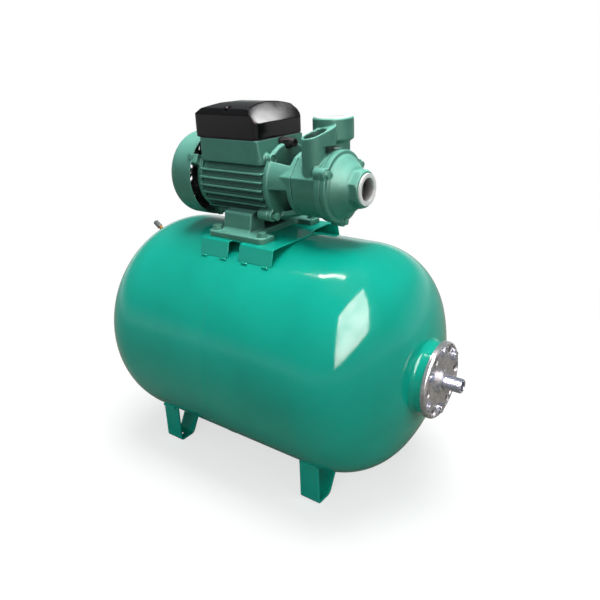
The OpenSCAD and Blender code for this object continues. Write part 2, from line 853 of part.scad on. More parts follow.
module motor_shaft() {
    tail = cowl_rear + 9.5;
    nose = impeller_rear + impeller_w - 0.4;
    color([0.7, 0.71, 0.73]) translate([0, 0, pump_z]) difference() {
        union() {
            bar_x(shaft_r, tail, nose);
            bar_x(shaft_r + 1.5, rear_bearing + bearing_w, front_bearing);
        }
        box_at(impeller_rear, nose + 1, shaft_r - 1.8, shaft_r + 3, -1.5, 1.5);
    }
}

module ring_pair(r_out, r_in) {
    translate([0, 0, pump_z]) {
        tube_x(r_out, r_in, rear_bearing, rear_bearing + bearing_w);
        tube_x(r_out, r_in, front_bearing, front_bearing + bearing_w);
    }
}

ball_pitch = (bearing_r + shaft_r) / 2;
ball_r = (bearing_r - shaft_r) * 0.29;

module raceway() {
    translate([0, 0, pump_z]) for (x0 = [rear_bearing, front_bearing]) {
        turn_x() translate([ball_pitch, x0 + bearing_w / 2]) circle(r = ball_r + running_fit, $fn = 48);
    }
}

module bearing_outer_rings() {
    color([0.75, 0.76, 0.78]) difference() {
        ring_pair(bearing_r, ball_pitch + ball_r * 0.6);
        raceway();
    }
}

module bearing_inner_rings() {
    color([0.75, 0.76, 0.78]) difference() {
        ring_pair(ball_pitch - ball_r * 0.6, shaft_r);
        raceway();
    }
}

module bearing_balls() {
    color([0.8, 0.81, 0.82]) translate([0, 0, pump_z]) for (x0 = [rear_bearing, front_bearing]) {
        around_x(7, ball_pitch) translate([x0 + bearing_w / 2, 0, 0]) sphere(r = ball_r, $fn = 48);
        difference() {
            tube_x(ball_pitch + 0.7, ball_pitch - 0.7, x0 + bearing_w / 2 - 1.2, x0 + bearing_w / 2 + 1.2);
            around_x(7, ball_pitch) translate([x0 + bearing_w / 2, 0, 0])
                sphere(r = ball_r - 0.1, $fn = 48);
        }
    }
}

// Lantern between motor and pump, open above and at both sides
module lantern_drawing() {
    disc_t = 6;
    lip_r = lantern_d / 2;
    polygon([[bearing_r, motor_front - 10.6], [bearing_r + 4, motor_front - 10.6],
        [bearing_r + 4, motor_front], [bore_r - 2, motor_front], [bore_r - 2, motor_front - 4],
        [bore_r, motor_front - 4], [bore_r, motor_front], [lip_r, motor_front],
        [lip_r, motor_front + disc_t - 1.5], [lip_r - 1.5, motor_front + disc_t],
        [drum_r + 1, lantern_front - 8], [drum_r, lantern_front], [14, lantern_front],
        [14, lantern_front - 6], [drum_r - 6, lantern_front - 6], [lip_r - 8, motor_front + disc_t],
        [shaft_r + 4, motor_front + disc_t], [shaft_r + 4, motor_front + 1], [bearing_r, motor_front + 1]]);
}

module lantern_window(from, to) {
    x0 = motor_front + 6;
    x1 = lantern_front - 6;
    reach = lantern_d;
    push_x(x0, x1) difference() {
        polygon([[0, 0], [reach * cos(from), reach * sin(from)],
            [reach * cos((from + to) / 2), reach * sin((from + to) / 2)] * 1.6,
            [reach * cos(to), reach * sin(to)]]);
        circle(r = 24);
    }
}

module lantern() {
    color([0.29, 0.54, 0.46]) translate([0, 0, pump_z]) difference() {
        union() {
            turn_x() lantern_drawing();
            difference() {
                shoulder(motor_front + 6, lantern_front);
                cone_x(lantern_d / 2 - 8.3, drum_r - 6.3, motor_front + 6, lantern_front - 6);
                bar_x(14.5, lantern_front - 7, lantern_front + 1);
            }
            at_lugs() bar_x(lug_size, motor_front, motor_front + 9);
            intersection() {
                bar_x(lug_r, motor_front, motor_front + 6);
                around_x(2, 30, 225, 90) box_at(motor_front, motor_front + 6, 0, 30, -6, 6);
            }
            at_sunk() bar_x(sunk_size, motor_front, motor_front + 5.4);
        }
        lantern_window(40, 140);
        lantern_window(183, 242);
        lantern_window(298, 357);
        bar_x(8, motor_front - 1, motor_front + 20, 0, gland_z);
        at_lugs() bar_x(3.2, motor_front - 1, motor_front + 10);
        at_sunk() {
            bar_x(2.4, motor_front - 1, motor_front + 7);
            bar_x(4.2, motor_front + 2, motor_front + 7);
        }
        around_x(3, lantern_bolt_r, 30) bar_x(3.2, lantern_front - 7, lantern_front + 1);
    }
}

module tie_bolts() {
    seat = motor_front + 9;
    sunk_seat = motor_front + 2;
    color([0.62, 0.66, 0.64]) translate([0, 0, pump_z]) {
        at_lugs() {
            bar_x(2.5, motor_front - 11, seat);
            hex_x(8, seat, seat + 3.6);
        }
        at_sunk() difference() {
            union() {
                bar_x(2, motor_front - 11, sunk_seat);
                bar_x(3.6, sunk_seat, sunk_seat + 3);
            }
            box_at(sunk_seat + 2, sunk_seat + 4, -4, 4, -0.5, 0.5);
        }
    }
}

module lantern_bolts() {
    seat = lantern_front - 6;
    color([0.62, 0.66, 0.64]) translate([0, 0, pump_z]) around_x(3, lantern_bolt_r, 30) {
        bar_x(2.8, seat, lantern_front + 9);
        hex_x(9, seat - 4, seat);
    }
}

module slinger() {
    mid = motor_front + 16;
    color([0.1, 0.1, 0.1]) translate([0, 0, pump_z]) {
        tube_x(shaft_r + 4, shaft_r, mid - 3, mid + 3);
        tube_x(13, shaft_r + 3.5, mid - 0.8, mid + 0.8);
    }
}

// Flat shoulders along the upper sides of lantern and casing
module shoulder(x0, x1) {
    push_x(x0, x1) polygon([[-drum_r - 1.2, shoulder_z], [-drum_r - 0.2, 0], [drum_r + 0.2, 0],
        [drum_r + 1.2, shoulder_z], [drum_r - 16, shoulder_z + 20], [16 - drum_r, shoulder_z + 20]]);
}

// Pump casing with the outlet head, the priming boss and the web between them
module casing_drawing() {
    wall = lantern_front + 14;
    polygon([[drum_r - 0.5, lantern_front + 0.6], [drum_r, lantern_front + 1.6],
        [drum_r + 0.8, drum_front - 8],
        [rim_r, drum_front - 7], [rim_r, drum_front], [chamber_r, drum_front], [chamber_r, chamber_rear],
        [12.5, chamber_rear], [12.5, wall], [shaft_r + 1.5, wall], [shaft_r + 1.5, lantern_front - 4],
        [13.8, lantern_front - 4], [13.8, lantern_front], [drum_r - 3, lantern_front],
        [drum_r - 3, lantern_front + 0.6]]);
}

module outlet_head() {
    translate([port_x, outlet_y, 0]) {
        translate([0, 0, 18]) cylinder(h = outlet_top - 24, r = outlet_d / 2 - 4.5);
        translate([0, 0, outlet_top - 26]) cylinder(h = 3, r1 = outlet_d / 2 - 4.5, r2 = outlet_d / 2);
        translate([0, 0, outlet_top - 23]) cylinder(h = 22, r = outlet_d / 2);
        translate([0, 0, outlet_top - 1]) cylinder(h = 1, r1 = outlet_d / 2, r2 = outlet_d / 2 - 1);
    }
}

// A long round, from the middle of the priming boss towards the outlet
module long_round(r, reach) {
    circle(r = r);
    rotate(70) {
        translate([0, lap / 4 - r]) square([reach, 2 * r - lap / 2]);
        translate([reach, 0]) circle(r = r);
    }
}

module prime_boss() {
    translate([port_x, prime_y, 0]) {
        translate([0, 0, 14]) cylinder(h = prime_top - 15, r = prime_d / 2);
        difference() {
            translate([0, 0, prime_top - 9]) linear_extrude(40) long_round(prime_d / 2, prime_reach);
            translate([0, 0, prime_top + prime_d / 2 * tan(prime_slant)])
                rotate([prime_slant, -prime_slant / 2, 0])
                translate([-50, -50, 0]) cube([100, 100, 80]);
        }
    }
}

module boss_web() {
    translate([port_x - 6, 0, 0]) push_x(0, 12) polygon([[prime_y + prime_d / 2 - 2, 12],
        [prime_y + prime_d / 2 - 2, prime_top - 4], [outlet_y, prime_top - 4], [outlet_y, 12]]);
}

module pump_casing() {
    color([0.29, 0.54, 0.46]) translate([0, 0, pump_z]) difference() {
        union() {
            turn_x() casing_drawing();
            difference() {
                union() {
                    outlet_head();
                    prime_boss();
                    boss_web();
                    shoulder(lantern_front + 0.6, drum_front - 7);
                }
                bar_x(drum_r - 2, lantern_front - 20, drum_front + 20);
                box_at(drum_front, drum_front + 30, -big, big, 0, rim_r + 2);
            }
            around_x(rim_bolts_n, rim_pcd_r, rim_turn) bar_x(rim_lug_r, drum_front - 9, drum_front);
        }
        bar_x(chamber_r, chamber_rear, drum_front + 1);
        translate([port_x, outlet_y, outlet_top - 22]) cylinder(h = 23, r = port_r);
        translate([port_x, outlet_y, outlet_top - 1]) cylinder(h = 3, r = cap_lip_d / 2 + running_fit);
        translate([port_x + 2, outlet_y, 20]) cylinder(h = outlet_top - 22, r = 10);
        translate([port_x, prime_y, prime_top - 22]) cylinder(h = prime_top, r = prime_bore / 2);
        translate([port_x, prime_y, prime_top - 3]) linear_extrude(30)
            long_round(prime_bore / 2 + 0.6, 0.36 * prime_reach);
        translate([port_x + 3, prime_y + 1, 16]) cylinder(h = 24, r = 6);
        around_x(rim_bolts_n, rim_pcd_r, rim_turn) bar_x(2.5, drum_front - 8, drum_front + 1);
        around_x(3, lantern_bolt_r, 30) bar_x(2.8, lantern_front - 1, lantern_front + 10);
    }
}

// Peripheral impeller: a brass disc with short radial vanes milled into both edges
module impeller() {
    slot_w = 2 * PI * impeller_r / vane_count * 0.62;
    color([0.78, 0.6, 0.3]) translate([0, 0, pump_z]) difference() {
        union() {
            bar_x(impeller_r, impeller_rear + 1.6, impeller_rear + impeller_w - 1.6);
            tube_x(impeller_r, impeller_r - 7.5, impeller_rear, impeller_rear + impeller_w);
            bar_x(12, impeller_rear, impeller_rear + impeller_w);
        }
        bar_x(shaft_r, impeller_rear - 1, impeller_rear + impeller_w + 1);
        box_at(impeller_rear - 1, impeller_rear + impeller_w + 1, 0, shaft_r + 1.4, -1.5, 1.5);
        around_x(vane_count, 0) {
            box_at(impeller_rear - 1, impeller_rear + 3.6, impeller_r - 6, impeller_r + 1,
                -slot_w / 2, slot_w / 2);
        }
        around_x(vane_count, 0, 180 / vane_count) {
            box_at(impeller_rear + impeller_w - 3.6, impeller_rear + impeller_w + 1, impeller_r - 6,
                impeller_r + 1, -slot_w / 2, slot_w / 2);
        }
    }
}

module impeller_key() {
    color([0.6, 0.61, 0.63]) translate([0, 0, pump_z])
        box_at(impeller_rear, impeller_rear + impeller_w - 0.4, shaft_r - 1.8, shaft_r + 1.3, -1.5, 1.5);
}

// Shaft seal behind the impeller
module seal_seat() {
    wall = lantern_front + 14;
    color([0.88, 0.87, 0.83]) translate([0, 0, pump_z]) tube_x(12.5, shaft_r + 1, wall, wall + 4);
}

module seal_ring() {
    wall = lantern_front + 18;
    color([0.15, 0.15, 0.16]) translate([0, 0, pump_z]) tube_x(10, shaft_r, wall + 0.05, wall + 3);
}

module seal_bellows() {
    start = lantern_front + 21;
    color([0.12, 0.12, 0.12]) translate([0, 0, pump_z]) turn_x() polygon([
        [shaft_r, start], [9.4, start], [9.4, start + 1.6], [8, start + 2.4], [9.4, start + 3.2],
        [8, start + 4], [9.4, start + 4.8], [9.4, impeller_rear], [shaft_r, impeller_rear]]);
}

// Front cover with the suction nozzle
module casing_ring_seal() {
    color([0.1, 0.1, 0.1]) translate([0, 0, pump_z]) turn_x() difference() {
        translate([seal_r, drum_front]) circle(r = seal_cord_r, $fn = 32);
        translate([0, drum_front - 5]) square([big, 5]);
    }
}

module cover_drawing() {
    neck_r = nozzle_af / 2 - 1;
    polygon([[0, drum_front], [rim_r - 1, drum_front], [rim_r, drum_front + 1], [rim_r, rim_front - 1],
        [rim_r - 1, rim_front], [rim_r - 4.5, rim_front], [rim_r - 6, rim_front + 3],
        [neck_r + 9.5, rim_front + 9], [neck_r + 5, rim_front + 15], [neck_r, rim_front + 19],
        [neck_r, nozzle_tip - 1.2], [0, nozzle_tip - 1.2]]);
}

module front_cover() {
    corner = nozzle_af / 2 / cos(22.5);
    color([0.29, 0.54, 0.46]) translate([0, 0, pump_z]) difference() {
        union() {
            turn_x() cover_drawing();
            bar_x(chamber_r - 0.1, drum_front - 1.4, drum_front + 1);
            intersection() {
                rotate([22.5, 0, 0]) translate([rim_front + 4, 0, 0]) rotate([0, 90, 0])
                    cylinder(h = nozzle_len - 4, r = corner, $fn = 8);
                cone_x(corner + nozzle_len * 0.5, corner - 2.5, rim_front + 4, nozzle_tip);
            }
            around_x(rim_bolts_n, rim_pcd_r, rim_turn) bar_x(rim_lug_r, drum_front, rim_front - 1);
        }
        bar_x(port_r, nozzle_tip - 22, nozzle_tip + 1);
        bar_x(plug_lip_d / 2 + running_fit, nozzle_tip - 1, nozzle_tip + 1);
        bar_x(12, drum_front - 3, nozzle_tip - 20);
        around_x(rim_bolts_n, rim_pcd_r, rim_turn) {
            bar_x(3.2, drum_front - 1, rim_front + 1);
            bar_x(rim_lug_r - 0.9, rim_front - 1, rim_front + 12);
        }
        turn_x() translate([seal_r, drum_front]) circle(r = seal_cord_r, $fn = 32);
    }
}

module rim_bolts() {
    seat = rim_front - 1;
    color([0.5, 0.6, 0.56]) translate([0, 0, pump_z]) around_x(rim_bolts_n, rim_pcd_r, rim_turn) {
        bar_x(2.5, drum_front - 7, seat);
        tube_x(4.6, 2.5, seat, seat + 0.8);
        hex_x(7, seat + 0.8, seat + 4);
        bar_x(2.5, seat, seat + 1);
    }
}

// White plastic plugs that keep the ports clean, each a shallow cup with a lip
module plug_form(lip_d, lip_t) {
    difference() {
        union() {
            cylinder(h = lip_t, r = lip_d / 2);
            translate([0, 0, -plug_depth - 2]) cylinder(h = plug_depth + 2.5, r = port_r - running_fit);
        }
        translate([0, 0, -plug_depth]) cylinder(h = plug_depth + lip_t + 1, r = plug_cup_d / 2);
    }
}

module suction_plug() {
    color([0.93, 0.93, 0.92]) translate([nozzle_tip - 1, 0, pump_z]) rotate([0, 90, 0])
        plug_form(plug_lip_d, 3);
}

module outlet_plug() {
    color([0.93, 0.93, 0.92]) translate([port_x, outlet_y, pump_z + outlet_top - 1])
        plug_form(cap_lip_d, 2);
}

// Terminal box cover, crowned across and bevelled at its front
module cover_form(inset) {
    rim = box_top;
    top = box_top + cover_h - inset;
    edge_z = top - cover_crown;
    half = box_w / 2 + 0.8 - inset;
    front = box_front + 0.6 - inset;
    rear = box_rear - 4 + inset;
    foot_rear = box_rear - 1 + inset;
    arc_r = (half * half + cover_crown * cover_crown) / (2 * cover_crown);
    intersection() {
        translate([(front + rear) / 2, 0, rim - 1]) linear_extrude(cover_h + 2)
            round_rect(front - rear, 2 * half, 6.5 - inset);
        translate([0, half, 0]) rotate([90, 0, 0]) linear_extrude(2 * half) polygon([
            [foot_rear, rim - 1], [foot_rear, rim + 1], [rear, rim + 0.64 * cover_h],
            [rear + 9, top - 0.16 * cover_h],
            [rear + 22, top - 1.2], [front - 60, top], [front - 18, top],
            [front, rim + 0.47 * cover_h], [front, rim - 1]]);
        push_x(rear, front) intersection() {
            translate([0, top - arc_r]) circle(r = arc_r, $fn = 360);
            polygon([[-half, rim - 1], [-half, edge_z - 5], [-half + 6, edge_z + 3], [0, top + 5],
                [half - 6, edge_z + 3], [half, edge_z - 5], [half, rim - 1]]);
        }
    }
}

module terminal_cover() {
    color([0.13, 0.13, 0.14]) translate([0, 0, pump_z]) difference() {
        union() {
            difference() {
                cover_form(0);
                cover_form(cover_t);
            }
            intersection() {
                cover_form(0);
                for (s = [-1, 1]) {
                    translate([cover_mid, s * screw_y, 0]) linear_extrude(120) round_rect(11, 11, 4);
                }
            }
        }
        box_at(-big, big, -big, big, 0, box_top + 0.8);
        for (s = [-1, 1]) {
            translate([cover_mid, s * screw_y, box_top - 1]) cylinder(h = cover_h, r = 2.2);
            translate([cover_mid, s * screw_y, box_top + cover_h - 12]) cylinder(h = 20, r = 4.4);
        }
    }
}

module cover_gasket() {
    color([0.1, 0.1, 0.1]) translate([0, 0, pump_z + box_top]) linear_extrude(0.8) difference() {
        translate([cover_mid, 0]) round_rect(box_len, box_w, 7);
        translate([cover_mid, 0]) difference() {
            round_rect(box_len - 6, box_w - 6, 5);
            for (s = [-1, 1]) {
                translate([0, s * screw_y]) round_rect(11, boss_w, 3);
            }
        }
        for (s = [-1, 1]) {
            translate([cover_mid, s * screw_y]) circle(r = 2.2);
        }
    }
}

module cover_screws() {
    seat = box_top + cover_h - 12;
    color([0.75, 0.76, 0.78]) translate([cover_mid, 0, pump_z]) for (s = [-1, 1]) {
        translate([0, s * screw_y, 0]) difference() {
            union() {
                translate([0, 0, box_top - 11]) cylinder(h = seat - box_top + 11, r = 1.7);
                translate([0, 0, seat]) cylinder(h = 2.6, r = 3.8);
            }
            translate([0, 0, seat + 1.2]) {
                box_at(-2.4, 2.4, -0.5, 0.5, 0, 3);
                box_at(-0.5, 0.5, -2.4, 2.4, 0, 3);
            }
        }
    }
}

module terminal_board() {
    low = shell_r + 1;
    color([0.35, 0.2, 0.12]) translate([cover_mid - 8, board_y, pump_z]) difference() {
        union() {
            translate([0, 0, low]) linear_extrude(8) round_rect(44, board_w, 3);
            for (i = [-1, 0, 1]) {
                translate([i * 14 - 6.4, -board_w / 2, low]) cube([0.8, board_w, 13]);
            }
        }
        translate([0, 0, low - 1]) linear_extrude(4) round_rect(36, board_w - 8, 2);
    }
}

module terminal_studs() {
    low = shell_r + 9;
    color([0.8, 0.65, 0.35]) translate([cover_mid - 8, board_y, pump_z + low])
    for (i = [-1, 0, 1], j = [-1, 1]) {
        translate([i * 14 + 1, j * board_w / 4, 0]) {
            cylinder(h = 9, r = 1.9);
            cylinder(h = 3, r = 3.8, $fn = 6);
        }
    }
}

module capacitor() {
    color([0.85, 0.85, 0.83]) translate([0, can_y, pump_z + shell_r + 2 + can_r]) {
        bar_x(can_r, cover_mid - 32, cover_mid + 24);
        bar_x(can_r - 2, cover_mid - 33.5, cover_mid - 32);
        for (s = [-1, 1]) {
            box_at(cover_mid + 24, cover_mid + 31, s * 5 - 0.4, s * 5 + 0.4, -3, 3);
        }
        difference() {
            box_at(cover_mid - 20, cover_mid + 12, -6, 6, -can_r - 1, -4);
            bar_x(can_r, cover_mid - 40, cover_mid + 40);
        }
    }
}

// Cable gland in the front wall of the terminal box
module cable_gland() {
    face = box_front + 1.4;
    color([0.12, 0.12, 0.12]) translate([0, 0, pump_z + gland_z]) difference() {
        union() {
            bar_x(5, box_front - 7, face + 9);
            hex_x(gland_af, face, face + 4);
        }
        bar_x(gland_bore, box_front - 8, face + gland_len);
    }
}

module gland_nut() {
    face = box_front + 6.4;
    tip = box_front + 1.4 + gland_len;
    color([0.12, 0.12, 0.12]) translate([0, 0, pump_z + gland_z]) difference() {
        union() {
            hex_x(gland_af, face, tip - 6);
            cone_x(gland_af / 2 - 0.2, gland_bore + 1, tip - 6, tip);
        }
        bar_x(5, face - 1, box_front + 10.4);
        bar_x(gland_bore, face - 2, tip + 1);
    }
}

// Foot bolts through motor foot and platform
module at_foot_bolts() {
    for (sx = [-1, 1], sy = [-1, 1]) {
        translate([foot_mid + sx * bolt_x / 2, sy * bolt_y / 2, pump_z - shaft_h]) children();
    }
}

module foot_bolts() {
    color([0.62, 0.64, 0.64]) at_foot_bolts() {
        translate([0, 0, -deck_t - 6]) cylinder(h = foot_t + 1.2 + deck_t + 6, r = 3);
        translate([0, 0, foot_t + 1.2]) cylinder(h = 4, r = 10 / sqrt(3), $fn = 6);
    }
}

module foot_washers() {
    color([0.7, 0.72, 0.72]) at_foot_bolts() difference() {
        translate([0, 0, foot_t]) cylinder(h = 1.2, r = 6.4);
        translate([0, 0, foot_t - 1]) cylinder(h = 4, r = 3);
    }
}

module foot_nuts() {
    color([0.7, 0.72, 0.72]) at_foot_bolts() difference() {
        union() {
            translate([0, 0, -deck_t - 5]) cylinder(h = 4, r = 10 / sqrt(3), $fn = 6);
            translate([0, 0, -deck_t - 1]) cylinder(h = 1, r = 6.8);
        }
        translate([0, 0, -deck_t - 6]) cylinder(h = 8, r = 3);
    }
}

tank_shell_front();
tank_shell_rear();
girth_weld();
foot_front_near();
foot_front_far();
foot_rear_near();
foot_rear_far();
foot_welds();
pump_platform();
platform_welds();
tank_ring();
tank_flange();
flange_bolts();
water_stub();
membrane();
air_valve_stem();
air_valve_pin();
air_valve_cap();
motor_housing();
rear_shield();
fan_cowl();
cowl_screws();
cooling_fan();
stator_core();
stator_windings();
rotor_core();
motor_shaft();
bearing_outer_rings();
bearing_inner_rings();
bearing_balls();
lantern();
tie_bolts();
lantern_bolts();
slinger();
pump_casing();
impeller();
impeller_key();
seal_seat();
seal_ring();
seal_bellows();
casing_ring_seal();
front_cover();
rim_bolts();
suction_plug();
outlet_plug();
terminal_cover();
cover_gasket();
cover_screws();
terminal_board();
terminal_studs();
capacitor();
cable_gland();
gland_nut();
foot_bolts();
foot_washers();
foot_nuts();
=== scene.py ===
import math
from functools import partial

import bpy
import bmesh
import numpy as np
from mathutils import Matrix, Vector


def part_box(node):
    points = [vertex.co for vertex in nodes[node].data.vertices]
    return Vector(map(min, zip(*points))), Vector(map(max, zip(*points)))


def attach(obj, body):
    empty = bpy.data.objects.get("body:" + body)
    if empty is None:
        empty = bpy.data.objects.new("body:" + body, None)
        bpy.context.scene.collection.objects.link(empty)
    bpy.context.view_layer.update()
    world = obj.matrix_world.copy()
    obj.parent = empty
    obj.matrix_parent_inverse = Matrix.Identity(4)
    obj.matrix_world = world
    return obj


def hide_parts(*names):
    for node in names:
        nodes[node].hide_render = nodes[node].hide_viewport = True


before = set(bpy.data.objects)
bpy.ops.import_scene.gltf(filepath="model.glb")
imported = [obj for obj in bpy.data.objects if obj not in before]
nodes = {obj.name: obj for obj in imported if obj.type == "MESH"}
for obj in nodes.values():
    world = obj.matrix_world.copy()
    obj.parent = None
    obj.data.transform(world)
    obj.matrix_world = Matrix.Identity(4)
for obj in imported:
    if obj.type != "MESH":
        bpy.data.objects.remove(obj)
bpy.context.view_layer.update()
scene = bpy.context.scene
print("frame loaded:", len(nodes), "nodes")

# sizes that several pieces share, in mm as on the drawing
drawing = {
    "axisZ": 159.0, "tankRadius": 140.0, "tankLength": 448.0, "knuckle": 80.0, "crown": 200.0,
    "wall": 1.6, "shaftZ": 363.5, "portX": 87.0, "outletY": 15.0, "primeY": -24.25, "portRadius": 15.15,
    "primeRadius": 9.3,
}
mm = 0.001
same = 0.00001  # points of the CAD nodes closer than this, in metres, are one


# small helpers
def linear(hexColour):
    def lift(part):
        value = int(part, 16) / 255
        return value / 12.92 if value <= 0.04045 else ((value + 0.055) / 1.055) ** 2.4
    return tuple(lift(hexColour[i:i + 2]) for i in (1, 3, 5)) + (1.0,)


# adds a node: sockets are numbers or other sockets, stops are a ramp's colours, the rest are its settings
def addNode(tree, kind, sockets=None, stops=None, **settings):
    made = tree.nodes.new(kind)
    for name, value in settings.items():
        setattr(made, name, value)
    for name, value in (sockets or {}).items():
        if isinstance(value, bpy.types.NodeSocket):
            tree.links.new(value, made.inputs[name])
        else:
            made.inputs[name].default_value = value
    if stops:
        ramp = made.color_ramp
        while len(ramp.elements) < len(stops):
            ramp.elements.new(0.5)
        for element, (place, colour) in zip(ramp.elements, stops):
            element.position = place
            element.color = colour
    return made


# a new material with its shader set, ready for patterns on Object coordinates
def startMaterial(name, **shader):
    made = bpy.data.materials.new(name)
    made.use_nodes = True
    tree = made.node_tree
    surface = tree.nodes["Principled BSDF"]
    for key, value in shader.items():
        surface.inputs[key].default_value = value
    coords = addNode(tree, "ShaderNodeTexCoord")
    return made, tree, surface, coords.outputs["Object"]


# short forms of the nodes that come again and again: each gives its output socket
def mathNode(tree, operation, a, b=0.0):
    return addNode(tree, "ShaderNodeMath", {0: a, 1: b}, operation=operation).outputs[0]


def noise(tree, coords, scale, detail, **more):
    sockets = {"Vector": coords, "Scale": scale, "Detail": detail, **more}
    return addNode(tree, "ShaderNodeTexNoise", sockets).outputs["Fac"]


def remap(tree, value, fromLow, fromHigh, low, high):
    sockets = {"Value": value, "From Min": fromLow, "From Max": fromHigh, "To Min": low, "To Max": high}
    return addNode(tree, "ShaderNodeMapRange", sockets).outputs["Result"]


def choose(tree, share, first, second):
    return addNode(tree, "ShaderNodeMix", {0: share, 2: first, 3: second}).outputs[0]


def blend(tree, share, first, second):
    return addNode(tree, "ShaderNodeMix", {0: share, 6: first, 7: second}, data_type="RGBA").outputs[2]


def tintBy(tree, factor, *stops):
    ramp = [(place, linear(colour)) for place, colour in stops]
    return addNode(tree, "ShaderNodeValToRGB", {"Fac": factor}, stops=ramp).outputs["Color"]


def bump(tree, height, depth, strength=1.0, **more):
    sockets = {"Height": height, "Strength": strength, "Distance": depth * mm, **more}
    return addNode(tree, "ShaderNodeBump", sockets).outputs["Normal"]


def feed(tree, surface, colour, roughness, normal):
    for name, socket in (("Base Color", colour), ("Roughness", roughness), ("Normal", normal)):
        tree.links.new(socket, surface.inputs[name])


def meshObject(name, mesh):
    made = bpy.data.objects.new(name, mesh)
    scene.collection.objects.link(made)
    return made


# bakes the modifiers of a piece into its mesh
def settle(piece):
    bpy.context.view_layer.update()
    graph = bpy.context.evaluated_depsgraph_get()
    baked = bpy.data.meshes.new_from_object(piece.evaluated_get(graph), depsgraph=graph)
    old = piece.data
    piece.modifiers.clear()
    piece.data = baked
    baked.name = piece.name
    if old.users == 0:
        bpy.data.meshes.remove(old)
    return piece


def finishPiece(piece, material, body, slotName, *replaced):
    piece.data.materials.clear()
    piece.data.materials.append(material)
    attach(piece, body)
    if replaced:
        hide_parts(*replaced)
    return piece


def smoothAll(mesh, angle=None):
    mesh.polygons.foreach_set("use_smooth", [True] * len(mesh.polygons))
    if angle is not None:
        mesh.set_sharp_from_angle(angle=math.radians(angle))
    mesh.update()


# camera, at the place that a fit to the picture gave
view = {
    "place": (0.479361, -0.574595, 0.507670), "forward": (-0.56000689, 0.73784558, -0.37679727),
    "up": (-0.19868826, 0.32192124, 0.92568336), "lens": 37.16, "sensor": 36,
}
cameraData = bpy.data.cameras.new("camera")
cameraData.lens = view["lens"]
cameraData.sensor_width = view["sensor"]
camera = bpy.data.objects.new("camera", cameraData)
scene.collection.objects.link(camera)
back = -Vector(view["forward"]).normalized()
right = Vector(view["up"]).cross(back).normalized()
upward = back.cross(right)
turned = Matrix((right, upward, back)).transposed().to_4x4()
camera.matrix_world = Matrix.Translation(view["place"]) @ turned
scene.camera = camera
print("camera set")


# floor, backdrop and lamps
studio = {
    "floorHalf": 9.0, "floorColour": "#7d7b77", "glossFloor": "#968c80", "fadeStart": 0.3,
    "cameraShare": 0.34, "cameraReach": 0.8, "glossReach": 4.5, "horizon": 0.2, "ambient": 0.24,
    "ambientColour": "#eef4f6",
}
white = (1, 1, 1, 1)
lamps = {
    # name: place, target, width, height, watts, colour, seen by diffuse, seen by gloss, spread in degrees
    "streak": ((-0.145, 0.045, 0.95), (-0.145, 0.045, 0.0), 0.44, 0.035, 3.2, "#fff6ea", False, True, 180),
    "ceiling": ((0.05, 0.15, 1.75), (0.03, 0.0, 0.3), 1.3, 1.1, 33.0, "#ffffff", True, False, 180),
    "front": ((0.2, -1.9, 1.1), (0.0, 0.0, 0.2), 1.6, 1.2, 10.5, "#fdfeff", True, False, 180),
    "rightSide": ((1.8, -0.2, 0.9), (0.0, 0.0, 0.25), 1.2, 1.2, 13.0, "#ffffff", True, False, 180),
    "left": ((-1.6, -0.9, 0.9), (0.0, 0.0, 0.2), 1.2, 1.2, 4.0, "#f7fbff", True, False, 180),
    "coverPanel": ((0.12, 0.30, 0.70), (0.015, 0.0, 0.445), 0.065, 0.045, 0.0044, "#ffffff", False, True, 22),
    "pumpTop": ((0.12, -0.08, 0.82), (0.07, 0.0, 0.38), 0.22, 0.16, 0.06, "#f4fffc", True, False, 50),
}
# the bright window that only a gloss sees: its corners mirror the four corners of the highlight on the tank
windowPane = {
    "corners": ((0.835, 0.215, 1.805), (1.633, -0.132, 0.871), (1.295, -1.583, 0.504),
                (0.633, -0.765, 1.533)),
    "strength": 36.0, "dimmer": 25.0, "patch": 0.35, "cloud": (0.35, 0.65), "colour": "#ffe9ea",
}


def studioFloor():
    s = studio
    half = s["floorHalf"]
    mesh = bpy.data.meshes.new("studioFloor")
    mesh.from_pydata([(-half, -half, 0), (half, -half, 0), (half, half, 0), (-half, half, 0)], [],
                     [(0, 1, 2, 3)])
    floor = meshObject("studioFloor", mesh)
    # pale paper: it throws little light back, and glows white where the camera or a gloss looks at it
    paper, tree, surface, coords = startMaterial("paleFloorPaper", **{
        "Roughness": 0.9, "Base Color": linear(s["floorColour"]), "Specular IOR Level": 0.1})
    path = addNode(tree, "ShaderNodeLightPath").outputs
    byCamera = path["Is Camera Ray"]
    seen = mathNode(tree, "MAXIMUM", byCamera, path["Is Glossy Ray"])
    seenToo = mathNode(tree, "MAXIMUM", seen, path["Is Transmission Ray"])
    # the shadow is kept round the object and the paper turns plain white further out; a gloss sees more of it
    away = addNode(tree, "ShaderNodeVectorMath", {0: coords}, operation="LENGTH").outputs["Value"]
    reach = choose(tree, byCamera, s["glossReach"], s["cameraReach"])
    near = remap(tree, away, s["fadeStart"], reach, 1.0, 0.0)
    part = choose(tree, byCamera, 1.0, s["cameraShare"])
    share = mathNode(tree, "MULTIPLY", near, part)
    paperTone = blend(tree, byCamera, linear(s["glossFloor"]), white)
    glow = addNode(tree, "ShaderNodeEmission", {"Color": white, "Strength": 1.0})
    lit = addNode(tree, "ShaderNodeBsdfDiffuse", {"Color": paperTone})
    show = addNode(tree, "ShaderNodeMixShader", {0: share, 1: glow.outputs[0], 2: lit.outputs[0]})
    pick = addNode(tree, "ShaderNodeMixShader", {0: seenToo, 1: surface.outputs[0], 2: show.outputs[0]})
    tree.links.new(pick.outputs[0], tree.nodes["Material Output"].inputs["Surface"])
    mesh.materials.append(paper)


